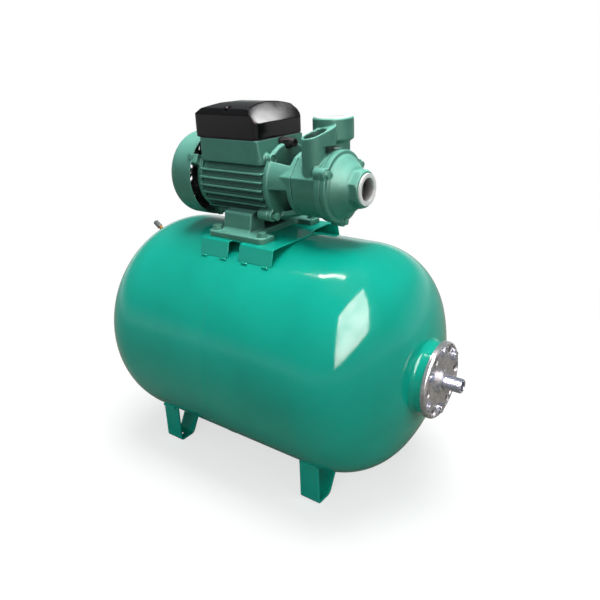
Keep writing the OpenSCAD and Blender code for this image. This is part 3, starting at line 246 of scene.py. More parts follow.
def studioLamps():
    for name, (place, target, width, height, watts, colour, diffuse, gloss, spread) in lamps.items():
        data = bpy.data.lights.new(name, "AREA")
        data.shape = "RECTANGLE"
        data.size = width
        data.size_y = height
        data.energy = watts
        data.color = linear(colour)[:3]
        data.spread = math.radians(spread)
        lamp = bpy.data.objects.new(name, data)
        scene.collection.objects.link(lamp)
        aim = (Vector(target) - Vector(place)).to_track_quat("-Z", "Y")
        lamp.matrix_world = Matrix.Translation(place) @ aim.to_matrix().to_4x4()
        lamp.visible_diffuse = diffuse
        lamp.visible_glossy = gloss


def studioWindow():
    s = windowPane
    mesh = bpy.data.meshes.new("windowPane")
    mesh.from_pydata(s["corners"], [], [(0, 1, 2, 3)])
    pane = meshObject("windowPane", mesh)
    made, tree, _, coords = startMaterial("brightWindow")
    cloud = noise(tree, coords, 1 / s["patch"], 1.0)
    level = remap(tree, cloud, *s["cloud"], s["dimmer"], s["strength"])
    shine = addNode(tree, "ShaderNodeEmission", {"Color": linear(s["colour"]), "Strength": level})
    tree.links.new(shine.outputs[0], tree.nodes["Material Output"].inputs["Surface"])
    mesh.materials.append(made)
    pane.visible_camera = False
    pane.visible_diffuse = False
    pane.visible_shadow = False


def studioWorld():
    world = bpy.data.worlds.new("studio")
    scene.world = world
    world.use_nodes = True
    tree = world.node_tree
    path = addNode(tree, "ShaderNodeLightPath").outputs
    clear = mathNode(tree, "MAXIMUM", path["Is Camera Ray"], path["Is Transmission Ray"])
    # a gloss sees the white backdrop round the horizon and the darker room above it
    side = addNode(tree, "ShaderNodeTexCoord").outputs["Generated"]
    height = addNode(tree, "ShaderNodeSeparateXYZ", {0: side}).outputs["Z"]
    low = remap(tree, height, 0.0, studio["horizon"], 1.0, 0.0)
    shine = mathNode(tree, "MULTIPLY", path["Is Glossy Ray"], low)
    seen = mathNode(tree, "MAXIMUM", clear, shine)
    soft = tree.nodes["Background"]
    soft.inputs["Color"].default_value = linear(studio["ambientColour"])
    soft.inputs["Strength"].default_value = studio["ambient"]
    bright = addNode(tree, "ShaderNodeBackground", {"Color": white, "Strength": 1.0})
    pick = addNode(tree, "ShaderNodeMixShader", {0: seen, 1: soft.outputs[0], 2: bright.outputs[0]})
    tree.links.new(pick.outputs[0], tree.nodes["World Output"].inputs["Surface"])


studioFloor()
studioLamps()
studioWindow()
studioWorld()
scene.view_settings.view_transform = "Standard"
print("studio ready")


# materials: sizes and depths are in mm, a smear or a cloud is a pattern's scale per metre, and four
# numbers are a range: from these two values to those two
# stove enamel sprayed on rolled steel: wet gloss, slow waves of the sheet and a soft orange peel
tankEnamel = {
    "deeper": (0.3, "#0c9a86"), "colour": (0.55, "#0fa28d"), "shiftedTone": (0.78, "#1fa490"), "specular": 0.22,
    "patch": 90, "smear": 28.0, "smearGloss": (0.3, 0.75, 0.08, 0.16), "wave": 55, "waveDepth": 0.05,
    "peel": 6, "peelDepth": 0.012,
}


def makeTankEnamel():
    s = tankEnamel
    made, tree, surface, coords = startMaterial(
        "stoveEnamelOnSheetSteel", **{"Specular IOR Level": s["specular"]})
    cloud = noise(tree, coords, 1000 / s["patch"], 4.0)
    tint = tintBy(tree, cloud, s["deeper"], s["colour"], s["shiftedTone"])
    smear = noise(tree, coords, s["smear"], 6.0, Roughness=0.65)
    gloss = remap(tree, smear, *s["smearGloss"])
    wave = noise(tree, coords, 1000 / s["wave"], 1.0)
    # real orange peel is 2 to 3 mm; drawn at 6 mm so that it holds at this picture size
    peel = noise(tree, coords, 1000 / s["peel"], 1.0)
    low = bump(tree, wave, s["waveDepth"])
    feed(tree, surface, tint, gloss, bump(tree, peel, s["peelDepth"], Normal=low))
    return made


# grey green machine enamel on sand cast metal: satin and grainy; pale on edges from worn paint and a painted
# highlight, darker in creases from dust and painted shade, painted shade in recesses and a painted top light
# on upward faces
castEnamel = {
    "deeper": (0.32, "#376c5d"), "colour": (0.68, "#407a6a"), "paleEdgeWearAndHighlight": "#66a393", "shadeAndDust": "#28433a",
    "paintedTopLight": "#6fb3a2", "paintedRecessShade": "#16231e", "specular": 0.2, "coat": 0.03, "coatRoughness": 0.2,
    "cloud": 22.0, "gloss": (0.3, 0.7, 0.36, 0.5), "edge": (0.515, 0.6, 0.0, 0.55),
    "hollow": (0.485, 0.42, 0.0, 0.6), "recess": 26.0, "recessShade": (0.86, 0.28, 0.0, 0.9),
    "upward": (0.15, 0.85, 0.0, 0.8), "grain": 2.4, "grainDepth": 0.1, "pits": 7, "pitDepth": 0.1,
}


def makeCastEnamel():
    s = castEnamel
    made, tree, surface, coords = startMaterial("machineEnamelOnCastMetal", **{
        "Specular IOR Level": s["specular"], "Coat Weight": s["coat"], "Coat Roughness": s["coatRoughness"]})
    cloud = noise(tree, coords, s["cloud"], 5.0, Roughness=0.6)
    tint = tintBy(tree, cloud, s["deeper"], s["colour"])
    shape = addNode(tree, "ShaderNodeNewGeometry").outputs
    # edges are painted pale: paint worn thin there, and a painted highlight
    wornAndLitEdges = blend(tree, remap(tree, shape["Pointiness"], *s["edge"]), tint, linear(s["paleEdgeWearAndHighlight"]))
    # concave creases are darkened: dust and painted shade
    shiftedTone = blend(tree, remap(tree, shape["Pointiness"], *s["hollow"]), wornAndLitEdges, linear(s["shadeAndDust"]))
    # painted shade in the recesses: between fins, inside the lantern, under the collars
    bare = addNode(tree, "ShaderNodeAmbientOcclusion", {"Distance": s["recess"] * mm}, samples=8,
                   only_local=True).outputs["AO"]
    recessShaded = blend(tree, remap(tree, bare, *s["recessShade"]), shiftedTone, linear(s["paintedRecessShade"]))
    # upward faces are painted paler: a painted top light, kept out of the recesses
    facing = addNode(tree, "ShaderNodeSeparateXYZ", {0: shape["Normal"]}).outputs["Z"]
    topLightMask = mathNode(tree, "MULTIPLY", remap(tree, facing, *s["upward"]), bare)
    topLit = blend(tree, topLightMask, recessShaded, linear(s["paintedTopLight"]))
    gloss = remap(tree, cloud, *s["gloss"])
    # sand grain under the paint, drawn a little coarser than the real 1 mm
    grain = noise(tree, coords, 1000 / s["grain"], 2.0)
    pits = addNode(tree, "ShaderNodeTexVoronoi", {"Vector": coords, "Scale": 1000 / s["pits"]})
    skin = bump(tree, grain, s["grainDepth"])
    feed(tree, surface, topLit, gloss,
         bump(tree, pits.outputs["Distance"], s["pitDepth"], 0.5, Normal=skin))
    return made


# plain metals differ only in colour, grain and polish, so one table holds them
metals = {
    # name: colour, second colour, roughness low and high, grain size mm, depth mm, stretch along X,
    # bare metal's share
    "zincOnSteel": ("#a9adaf", "#868a8c", 0.22, 0.4, 9.0, 0.03, 1.0, 0.62),
    "brightTurnedSteel": ("#b4bcc8", "#8e97a5", 0.2, 0.34, 3.0, 0.02, 6.0, 0.8),
    "machinedSteel": ("#9d9fa3", "#7e8185", 0.25, 0.42, 3.0, 0.02, 6.0, 1.0),
    "agedBrass": ("#b08a52", "#80603a", 0.28, 0.48, 4.0, 0.03, 1.0, 1.0),
    "lacqueredCopperWire": ("#a4552a", "#77391c", 0.25, 0.4, 1.6, 0.2, 1.0, 1.0),
}


def makeMetal(name):
    colour, second, low, high, grain, depth, stretch, bare = metals[name]
    # zinc carries a thin pale bloom, so part of it scatters light as a dull skin does
    made, tree, surface, coords = startMaterial(name, Metallic=bare)
    place = addNode(tree, "ShaderNodeMapping", {"Vector": coords, "Scale": (1 / stretch, 1.0, 1.0)})
    cloud = noise(tree, place.outputs[0], 1000 / grain, 5.0)
    tint = tintBy(tree, cloud, (0.35, second), (0.62, colour))
    gloss = remap(tree, cloud, 0.3, 0.7, high, low)
    feed(tree, surface, tint, gloss, bump(tree, cloud, depth, 0.6))
    return made


# moulded and dull materials, again one table
solids = {
    # name: colour, second colour, roughness low and high, grain mm, depth mm, coat
    "blackGlossMoulding": ("#0b0b0c", "#111113", 0.1, 0.2, 5.0, 0.012, 0.0),
    "blackSatinMoulding": ("#161718", "#202122", 0.38, 0.55, 1.8, 0.03, 0.0),
    "greyMoulding": ("#77797a", "#616364", 0.4, 0.55, 2.0, 0.03, 0.0),
    "whiteMoulding": ("#e2e3e1", "#d2d4d2", 0.3, 0.44, 3.0, 0.015, 0.1),
    "blackRubber": ("#202021", "#2b2b2c", 0.6, 0.8, 1.5, 0.04, 0.0),
    "brownPhenolic": ("#43261a", "#5a3524", 0.3, 0.45, 3.0, 0.02, 0.1),
    "ivoryCeramic": ("#e6e1d4", "#d8d2c2", 0.15, 0.25, 4.0, 0.005, 0.2),
    "paintedBolt": ("#427f6e", "#558c7b", 0.34, 0.5, 2.0, 0.04, 0.1),
}


def makeSolid(name):
    colour, second, low, high, grain, depth, coat = solids[name]
    made, tree, surface, coords = startMaterial(
        name, **{"Coat Weight": coat, "Coat Roughness": 0.06, "Specular IOR Level": 0.22})
    cloud = noise(tree, coords, 40.0, 5.0, Roughness=0.65)
    tint = tintBy(tree, cloud, (0.35, colour), (0.7, second))
    gloss = remap(tree, cloud, 0.3, 0.7, low, high)
    feed(tree, surface, tint, gloss, bump(tree, noise(tree, coords, 1000 / grain, 2.0), depth))
    return made


# white moulding whose cup holds painted shade and dust: it darkens towards the floor of the suction plug's
# cup
plugShadeAndDust = {"colour": "#1c2220", "floor": 127.4, "clean": 139.0, "cup": 13.6, "fall": 0.45}


def makeSuctionPlugMoulding():
    s = plugShadeAndDust
    made = makeSolid("whiteMoulding")
    made.name = "whiteMouldingWithShadedDustyCup"
    tree = made.node_tree
    surface = tree.nodes["Principled BSDF"]
    plain = surface.inputs["Base Color"].links[0].from_socket
    coords = addNode(tree, "ShaderNodeTexCoord")
    place = addNode(tree, "ShaderNodeMapping", {"Vector": coords.outputs["Object"],
                                                "Location": (0.0, 0.0, -drawing["shaftZ"] * mm)})
    parts = addNode(tree, "ShaderNodeSeparateXYZ", {0: place.outputs[0]}).outputs
    flat = addNode(tree, "ShaderNodeCombineXYZ", {1: parts["Y"], 2: parts["Z"]})
    away = addNode(tree, "ShaderNodeVectorMath", {0: flat.outputs[0]}, operation="LENGTH").outputs["Value"]
    depth = remap(tree, parts["X"], s["floor"] * mm, s["clean"] * mm, 1.0, 0.0)
    inside = mathNode(tree, "LESS_THAN", away, s["cup"] * mm)
    steep = mathNode(tree, "POWER", depth, s["fall"])
    # painted shade and dust, deepest at the cup's floor
    shadeAndDust = mathNode(tree, "MULTIPLY", steep, inside)
    shadedAndSoiled = blend(tree, shadeAndDust, plain, linear(s["colour"]))
    tree.links.new(shadedAndSoiled, surface.inputs["Base Color"])
    return made


finish = {"tankEnamel": makeTankEnamel(), "castEnamel": makeCastEnamel()}
finish.update({name: makeMetal(name) for name in metals})
finish.update({name: makeSolid(name) for name in solids})
finish["shadedDustyPlug"] = makeSuctionPlugMoulding()
slotFinish = {
    "green_tank_enamel": "tankEnamel", "green_pump_enamel": "castEnamel", "zinc_plated_steel": "zincOnSteel",
    "turned_steel": "machinedSteel", "painted_bolt_steel": "paintedBolt", "brass": "agedBrass",
    "copper_wire": "lacqueredCopperWire", "black_gloss_plastic": "blackGlossMoulding",
    "black_matte_plastic": "blackSatinMoulding", "grey_plastic": "greyMoulding",
    "white_plastic": "whiteMoulding", "black_rubber": "blackRubber", "phenolic_board": "brownPhenolic",
    "ceramic_ring": "ivoryCeramic",
}
for part in nodes.values():
    slotName = part.material_slots[0].material.name.split(".")[0]
    part.data.materials[0] = finish[slotFinish[slotName]]
print("materials ready")


# tank shells: the drawn half is one rule, swept round the axis by a node tree
shell = {"around": 288, "rows": 120, "firstRadiusFront": 25.0, "firstRadiusRear": 0.0, "merge": 0.00002}


def treeInput(tree, name, kind, value):
    made = tree.interface.new_socket(name=name, in_out="INPUT", socket_type=kind)
    if value is not None:
        made.default_value = value
    return made.identifier


def startTree(name, inputs):
    tree = bpy.data.node_groups.new(name, "GeometryNodeTree")
    tree.interface.new_socket(name="Geometry", in_out="INPUT", socket_type="NodeSocketGeometry")
    tree.interface.new_socket(name="Geometry", in_out="OUTPUT", socket_type="NodeSocketGeometry")
    keys = {key: treeInput(tree, key, kind, value) for key, (kind, value) in inputs.items()}
    enter = addNode(tree, "NodeGroupInput")
    leave = addNode(tree, "NodeGroupOutput")
    return tree, keys, enter.outputs, leave.inputs[0]


def runTree(piece, tree, keys, values):
    modifier = piece.modifiers.new(tree.name, "NODES")
    modifier.node_group = tree
    for key, value in values.items():
        modifier[keys[key]] = value
    return settle(piece)


def endTree(tree, geometry, material, leave):
    solid = addNode(tree, "GeometryNodeRealizeInstances", {0: geometry})
    painted = addNode(tree, "GeometryNodeSetMaterial", {"Geometry": solid.outputs[0], "Material": material})
    tree.links.new(painted.outputs[0], leave)


# the sums of one tree as short functions
def sums(tree, *names):
    return [partial(mathNode, tree, name) for name in names]


# a grid to be swept round the tank's axis: its mesh, and each point's row and turn
def startSweep(tree, around, rows):
    minus, times, over = sums(tree, "SUBTRACT", "MULTIPLY", "DIVIDE")
    grid = addNode(tree, "GeometryNodeMeshGrid", {"Size X": 1.0, "Size Y": 1.0, "Vertices X": around,
                                                  "Vertices Y": rows})
    index = addNode(tree, "GeometryNodeInputIndex").outputs[0]
    ring = mathNode(tree, "FLOOR", over(index, rows))
    row = minus(index, times(ring, rows))
    turn = times(over(ring, minus(around, 1.0)), math.tau)
    return grid.outputs["Mesh"], row, turn


# puts the grid's points at their radius, closes the seam and paints the skin
def endSweep(tree, grid, x, radius, turn, merge, take, leave):
    plus, times, sine, cosine = sums(tree, "ADD", "MULTIPLY", "SINE", "COSINE")
    place = addNode(tree, "ShaderNodeCombineXYZ", {
        0: x, 1: times(radius, cosine(turn)), 2: plus(take["Axis Height"], times(radius, sine(turn)))})
    put = addNode(tree, "GeometryNodeSetPosition", {"Geometry": grid, "Position": place.outputs[0]})
    closed = addNode(tree, "GeometryNodeMergeByDistance", {"Geometry": put.outputs[0], "Distance": merge})
    endTree(tree, closed.outputs[0], take["Material"], leave)


def shellTree():
    number = "NodeSocketFloat"
    tree, keys, take, leave = startTree("drawnTankShell", {
        "Tank Radius": (number, 0.14), "Half Length": (number, 0.2), "Knuckle": (number, 0.08),
        "Crown": (number, 0.56), "First Radius": (number, 0.0), "Side": (number, 1.0),
        "Axis Height": (number, 0.159), "Around": ("NodeSocketInt", 96), "Rows": ("NodeSocketInt", 40),
        "Material": ("NodeSocketMaterial", None)})
    plus, minus, times, over, sine, cosine = sums(
        tree, "ADD", "SUBTRACT", "MULTIPLY", "DIVIDE", "SINE", "COSINE")
    grid, row, turn = startSweep(tree, take["Around"], take["Rows"])
    # lengths of the crown arc, the knuckle arc and the straight wall
    flat = minus(take["Tank Radius"], take["Knuckle"])
    lean = mathNode(tree, "ARCSINE", over(flat, minus(take["Crown"], take["Knuckle"])))
    first = times(mathNode(tree, "ARCSINE", over(take["First Radius"], take["Crown"])), take["Crown"])
    crownLength = times(lean, take["Crown"])
    bendEnd = plus(crownLength, times(minus(math.pi / 2, lean), take["Knuckle"]))
    dish = minus(take["Crown"], times(minus(take["Crown"], take["Knuckle"]), cosine(lean)))
    straight = minus(take["Half Length"], dish)
    total = plus(bendEnd, straight)
    share = over(row, minus(take["Rows"], 1.0))
    along = plus(first, times(share, minus(total, first)))
    # crown
    crownTurn = over(along, take["Crown"])
    crownR = times(take["Crown"], sine(crownTurn))
    crownX = plus(minus(take["Half Length"], take["Crown"]), times(take["Crown"], cosine(crownTurn)))
    # knuckle
    bendTurn = plus(lean, over(minus(along, crownLength), take["Knuckle"]))
    bendR = plus(flat, times(take["Knuckle"], sine(bendTurn)))
    bendX = plus(straight, times(take["Knuckle"], cosine(bendTurn)))
    # straight wall
    wallX = minus(total, along)
    pastCrown = mathNode(tree, "GREATER_THAN", along, crownLength)
    pastBend = mathNode(tree, "GREATER_THAN", along, bendEnd)
    radius = choose(tree, pastBend, choose(tree, pastCrown, crownR, bendR), take["Tank Radius"])
    out = choose(tree, pastBend, choose(tree, pastCrown, crownX, bendX), wallX)
    endSweep(tree, grid, times(out, take["Side"]), radius, turn, shell["merge"], take, leave)
    return tree, keys


# an open skin can come out inside out: its faces must look away from the tank's axis
def turnOutwards(piece, merge=None):
    middle = Vector((0, 0, drawing["axisZ"] * mm))
    work = bmesh.new()
    work.from_mesh(piece.data)
    if merge:
        bmesh.ops.remove_doubles(work, verts=work.verts, dist=merge)
    bmesh.ops.recalc_face_normals(work, faces=work.faces)
    lean = 0.0
    for face in work.faces:
        out = face.calc_center_median() - middle
        out.x = 0.0
        lean += out.dot(face.normal) * face.calc_area()
    if lean < 0:
        bmesh.ops.reverse_faces(work, faces=work.faces)
    work.to_mesh(piece.data)
    work.free()


def thicken(piece, name, thickness):
    thick = piece.modifiers.new(name, "SOLIDIFY")
    thick.thickness = thickness * mm
    thick.offset = -1
    settle(piece)


def buildShells():
    tree, keys = shellTree()
    for side, first, name, node in ((1.0, shell["firstRadiusFront"], "frontTankShell", "tank_shell_front"),
                                    (-1.0, shell["firstRadiusRear"], "rearTankShell", "tank_shell_rear")):
        piece = meshObject(name, bpy.data.meshes.new(name))
        runTree(piece, tree, keys, {
            "Tank Radius": drawing["tankRadius"] * mm, "Half Length": drawing["tankLength"] / 2 * mm,
            "Knuckle": drawing["knuckle"] * mm, "Crown": drawing["crown"] * mm, "First Radius": first * mm,
            "Side": side, "Axis Height": drawing["axisZ"] * mm, "Around": shell["around"] + 1,
            "Rows": shell["rows"], "Material": finish["tankEnamel"]})
        turnOutwards(piece, shell["merge"])
        thicken(piece, "wall", drawing["wall"])
        smoothAll(piece.data, 50)
        finishPiece(piece, finish["tankEnamel"], "unit", "green_tank_enamel", node)


buildShells()
print("tank shells turned")


# castings: a merged copy of the node, softened as sand and paint leave an edge
castings = {
    # node: voxel mm, smoothing passes, most triangles
    "motor_housing": (0.9, 3, 190000),
    "lantern": (0.8, 4, 120000),
    "pump_casing": (0.8, 4, 170000),
    "front_cover": (0.8, 4, 120000),
    "rear_shield": (1.0, 3, 60000),
    "fan_cowl": (0.6, 4, 90000),
}


def addSoftening(piece, passes):
    rub = piece.modifiers.new("rub", "SMOOTH")
    rub.factor = 0.5
    rub.iterations = passes


def addVoxels(piece, size):
    block = piece.modifiers.new("block", "REMESH")
    block.mode = "VOXEL"
    block.voxel_size = size * mm


def softCopy(name, node, voxel, passes, most, cutter=None):
    mesh = nodes[node].data.copy()
    piece = meshObject(name, mesh)
    work = bmesh.new()
    work.from_mesh(mesh)
    bmesh.ops.remove_doubles(work, verts=work.verts, dist=same)
    work.to_mesh(mesh)
    work.free()
    if cutter:
        cut = piece.modifiers.new("cut", "BOOLEAN")
        cut.operation = "DIFFERENCE"
        cut.object = cutter
        settle(piece)
        bpy.data.objects.remove(cutter)
    addVoxels(piece, voxel)
    settle(piece)
    addSoftening(piece, passes)
    count = sum(len(face.vertices) - 2 for face in piece.data.polygons)
    if count > most:
        thin = piece.modifiers.new("thin", "DECIMATE")
        thin.ratio = most / count
    settle(piece)
    smoothAll(piece.data)
    print("softened", node, count, "->", sum(len(face.vertices) - 2 for face in piece.data.polygons))
    return piece


# bores kept at their drawn size, because softening may pull a wall in:
# casting, centre, axis, radius, from and to along the axis, how deep a wall may have come in
bores = (
    ("front_cover", (111, 0, drawing["shaftZ"]), (1, 0, 0), drawing["portRadius"] + 0.2, -10, 40, 1.2),
    ("pump_casing", (drawing["portX"], drawing["outletY"], drawing["shaftZ"]), (0, 0, 1),
     drawing["portRadius"] + 0.2, 50, 80, 1.2),
    ("pump_casing", (drawing["portX"], drawing["primeY"], drawing["shaftZ"]), (0, 0, 1),
     drawing["primeRadius"] + 0.9, 36, 60, 2.0),
)


def openBore(piece, centre, axis, radius, low, high, reach):
    mesh = piece.data
    points = np.empty(len(mesh.vertices) * 3, np.float32)
    mesh.vertices.foreach_get("co", points)
    points = points.reshape(-1, 3).astype(float)
    direction = np.array(axis, float)
    offset = points - np.array(centre) * mm
    along = offset @ direction
    across = offset - along[:, None] * direction
    distance = np.linalg.norm(across, axis=1)
    hit = (along > low * mm) & (along < high * mm)
    hit &= (distance > (radius - reach) * mm) & (distance < radius * mm)
    points[hit] += across[hit] / distance[hit, None] * (radius * mm - distance[hit])[:, None]
    mesh.vertices.foreach_set("co", points.reshape(-1).astype(np.float32))
    mesh.update()


# the foot plate is drawn in between its two front ears, where the picture shows the bare platform
footRelief = {"deepest": 13.0, "front": 60.0, "halfWidth": 37.0, "corner": 9.0, "steps": 8, "low": 298.0,
              "high": 309.5}


def reliefBlock():
    s = footRelief
    outline = [(s["front"], -s["halfWidth"]), (s["front"], s["halfWidth"])]
    # a quarter turn at each inner corner
    for side, first in ((1, 90), (-1, 180)):
        for step in range(s["steps"] + 1):
            turn = math.radians(first + 90 * step / s["steps"])
            outline.append((s["deepest"] + s["corner"] * (1 + math.cos(turn)),
                            side * (s["halfWidth"] - s["corner"]) + s["corner"] * math.sin(turn)))
    count = len(outline)
    points = [(x * mm, y * mm, z * mm) for z in (s["low"], s["high"]) for x, y in outline]
    faces = [tuple(range(count))[::-1], tuple(range(count, 2 * count))]
    faces += [(k, (k + 1) % count, count + (k + 1) % count, count + k) for k in range(count)]
    mesh = bpy.data.meshes.new("footReliefBlock")
    mesh.from_pydata(points, [], faces)
    return meshObject("footReliefBlock", mesh)


def buildCastings():
    made = {}
    for node, (voxel, passes, most) in castings.items():
        cutter = reliefBlock() if node == "motor_housing" else None
        made[node] = softCopy("soft_" + node, node, voxel, passes, most, cutter)
    for node, *bore in bores:
        openBore(made[node], *bore)
    for node, piece in made.items():
        finishPiece(piece, finish["castEnamel"], "unit", "green_pump_enamel", node)


buildCastings()
print("castings softened")


# sheet parts, cover, plugs and small hardware: the same softening, in finer steps
softParts = {
    # node: voxel mm, smoothing passes, most triangles, finish, slot, body
    "terminal_cover": (0.7, 3, 90000, "blackGlossMoulding", "black_gloss_plastic", "unit"),
    "pump_platform": (0.5, 2, 90000, "tankEnamel", "green_tank_enamel", "unit"),
    "foot_front_near": (0.6, 3, 20000, "tankEnamel", "green_tank_enamel", "unit"),
    "foot_front_far": (0.6, 3, 20000, "tankEnamel", "green_tank_enamel", "unit"),
    "foot_rear_near": (0.6, 3, 20000, "tankEnamel", "green_tank_enamel", "unit"),
    "foot_rear_far": (0.6, 3, 20000, "tankEnamel", "green_tank_enamel", "unit"),
    "suction_plug": (0.45, 3, 30000, "shadedDustyPlug", "white_plastic", "suction_plug_body"),
    "outlet_plug": (0.45, 3, 30000, "whiteMoulding", "white_plastic", "outlet_plug_body"),
    "rim_bolts": (0.3, 3, 20000, "paintedBolt", "painted_bolt_steel", "unit"),
    "tie_bolts": (0.3, 3, 20000, "paintedBolt", "painted_bolt_steel", "unit"),
    "foot_bolts": (0.3, 3, 20000, "paintedBolt", "painted_bolt_steel", "unit"),
    "cable_gland": (0.35, 2, 20000, "blackSatinMoulding", "black_matte_plastic", "unit"),
}


def buildSoftParts():
    for node, (voxel, passes, most, finishName, slotName, body) in softParts.items():
        piece = softCopy("soft_" + node, node, voxel, passes, most)
        finishPiece(piece, finish[finishName], body, slotName, node)


buildSoftParts()
print("sheet parts, cover and hardware softened")


# weld bead round the middle: a low rippled band, swept by a node tree
girthBead = {
    "width": 5.0, "height": 0.45, "ripples": 520, "rippleDepth": 0.05, "seed": 7, "around": 2601, "across": 9,
    "wobble": 9.0, "least": 0.6, "more": 0.8, "sunk": 0.1, "skin": 0.2, "merge": 0.00001,
}


def beadTree():
    s = girthBead
    number = "NodeSocketFloat"
    tree, keys, take, leave = startTree("weldBeadRing", {
        "Radius": (number, 0.14), "Width": (number, 0.005), "Height": (number, 0.0004),
        "Ripples": (number, 500.0), "Ripple Depth": (number, 0.0001), "Axis Height": (number, 0.159),
        "Around": ("NodeSocketInt", 96), "Seed": (number, 0.0), "Material": ("NodeSocketMaterial", None)})
    plus, minus, times, over, sine, cosine = sums(
        tree, "ADD", "SUBTRACT", "MULTIPLY", "DIVIDE", "SINE", "COSINE")
    grid, row, turn = startSweep(tree, take["Around"], s["across"])
    # half an ellipse across, raised and lowered by the ripple that each weld pool leaves
    lean = times(over(row, s["across"] - 1), math.pi)
    spot = addNode(tree, "ShaderNodeCombineXYZ", {
        0: times(cosine(turn), s["wobble"]), 1: times(sine(turn), s["wobble"]), 2: take["Seed"]})
    wobble = addNode(tree, "ShaderNodeTexNoise", {"Vector": spot.outputs[0], "Scale": 1.0})
    pool = times(cosine(times(turn, take["Ripples"])), take["Ripple Depth"])
    swell = plus(s["least"], times(s["more"], wobble.outputs["Fac"]))
    rise = plus(times(take["Height"], swell), pool)
    radius = plus(minus(take["Radius"], s["sunk"] * mm), times(rise, sine(lean)))
    out = times(times(take["Width"], 0.5), cosine(lean))
    endSweep(tree, grid, out, radius, turn, s["merge"], take, leave)
    return tree, keys


def buildGirthBead():
    tree, keys = beadTree()
    s = girthBead
    piece = meshObject("girthBead", bpy.data.meshes.new("girthBead"))
    runTree(piece, tree, keys, {
        "Radius": drawing["tankRadius"] * mm, "Width": s["width"] * mm, "Height": s["height"] * mm,
        "Ripples": float(s["ripples"]), "Ripple Depth": s["rippleDepth"] * mm,
        "Axis Height": drawing["axisZ"] * mm, "Around": s["around"], "Seed": float(s["seed"]),
        "Material": finish["tankEnamel"]})
    turnOutwards(piece)
    thicken(piece, "root", s["skin"])
    smoothAll(piece.data, 60)
    finishPiece(piece, finish["tankEnamel"], "unit", "green_tank_enamel", "girth_weld")


buildGirthBead()
print("girth bead swept")


# short weld seams: overlapping pools laid along lines by a node tree
seams = {"step": 1.9, "footPool": 2.3, "spotPool": 1.5, "inset": 0.6, "sizes": (0.82, 1.12), "seed": 3,
         "voxel": 0.4}


def seamTree():
    number = "NodeSocketFloat"
    tree, keys, take, leave = startTree("weldSeam", {
        "Step": (number, 0.002), "Pool": (number, 0.0026), "Seed": ("NodeSocketInt", 0),
        "Material": ("NodeSocketMaterial", None)})
    line = addNode(tree, "GeometryNodeMeshToCurve", {"Mesh": take["Geometry"]})
    points = addNode(tree, "GeometryNodeCurveToPoints", {"Curve": line.outputs[0], "Length": take["Step"]},
                     mode="LENGTH")
    ball = addNode(tree, "GeometryNodeMeshIcoSphere", {"Radius": take["Pool"], "Subdivisions": 3})
    least, most = seams["sizes"]
    size = addNode(tree, "FunctionNodeRandomValue", {2: least, 3: most, 8: take["Seed"]}, data_type="FLOAT")
    lay = addNode(tree, "GeometryNodeInstanceOnPoints", {"Points": points.outputs["Points"],
                                                         "Instance": ball.outputs["Mesh"],
                                                         "Scale": size.outputs[1]})
    endTree(tree, lay.outputs[0], take["Material"], leave)
    return tree, keys


def seamLines(node):
    # each bead of the CAD node is one straight line through the middle of its own island; the islands come
    # in no fixed order, so two lines may swap the random sizes of their pools between runs
    work = bmesh.new()
    work.from_mesh(nodes[node].data)
    bmesh.ops.remove_doubles(work, verts=work.verts, dist=same)
    left = set(work.verts)
    lines = []
    while left:
        reach = [left.pop()]
        island = []
        while reach:
            vert = reach.pop()
            island.append(vert.co.copy())
            for edge in vert.link_edges:
                other = edge.other_vert(vert)
                if other in left:
                    left.remove(other)
                    reach.append(other)
        low = min(point.x for point in island)
        high = max(point.x for point in island)
        middle = sum(island, Vector()) / len(island)
        lines.append((Vector((low, middle.y, middle.z)), Vector((high, middle.y, middle.z))))
    work.free()
    return lines


def buildSeams():
    tree, keys = seamTree()
    s = seams
    for node, name, size in (("foot_welds", "footSeams", s["footPool"]),
                             ("platform_welds", "platformSpots", s["spotPool"])):
        mesh = bpy.data.meshes.new(name)
        points = []
        for start, end in seamLines(node):
            inset = (end - start).normalized() * size * s["inset"] * mm
            points += [tuple(start + inset), tuple(end - inset)]
        mesh.from_pydata(points, [(i, i + 1) for i in range(0, len(points), 2)], [])
        piece = meshObject(name, mesh)
        runTree(piece, tree, keys, {"Step": s["step"] * mm, "Pool": size * mm, "Seed": s["seed"],
                                    "Material": finish["tankEnamel"]})
        addVoxels(piece, s["voxel"])
        addSoftening(piece, 1)
        settle(piece)
        smoothAll(piece.data)
        finishPiece(piece, finish["tankEnamel"], "unit", "green_tank_enamel", node)


buildSeams()
print("seams laid")


# flange screws: hex heads on a pitch circle, each turned a little by chance
flangeScrews = {
    "count": 6, "pitchRadius": 36.0, "flats": 10.0, "head": 4.0, "washer": 5.9, "washerThickness": 0.8,
    "shank": 3.0, "seed": 11, "proud": 0.3, "edge": 0.25, "coneTop": 0.84, "coneFoot": 1.12,
}


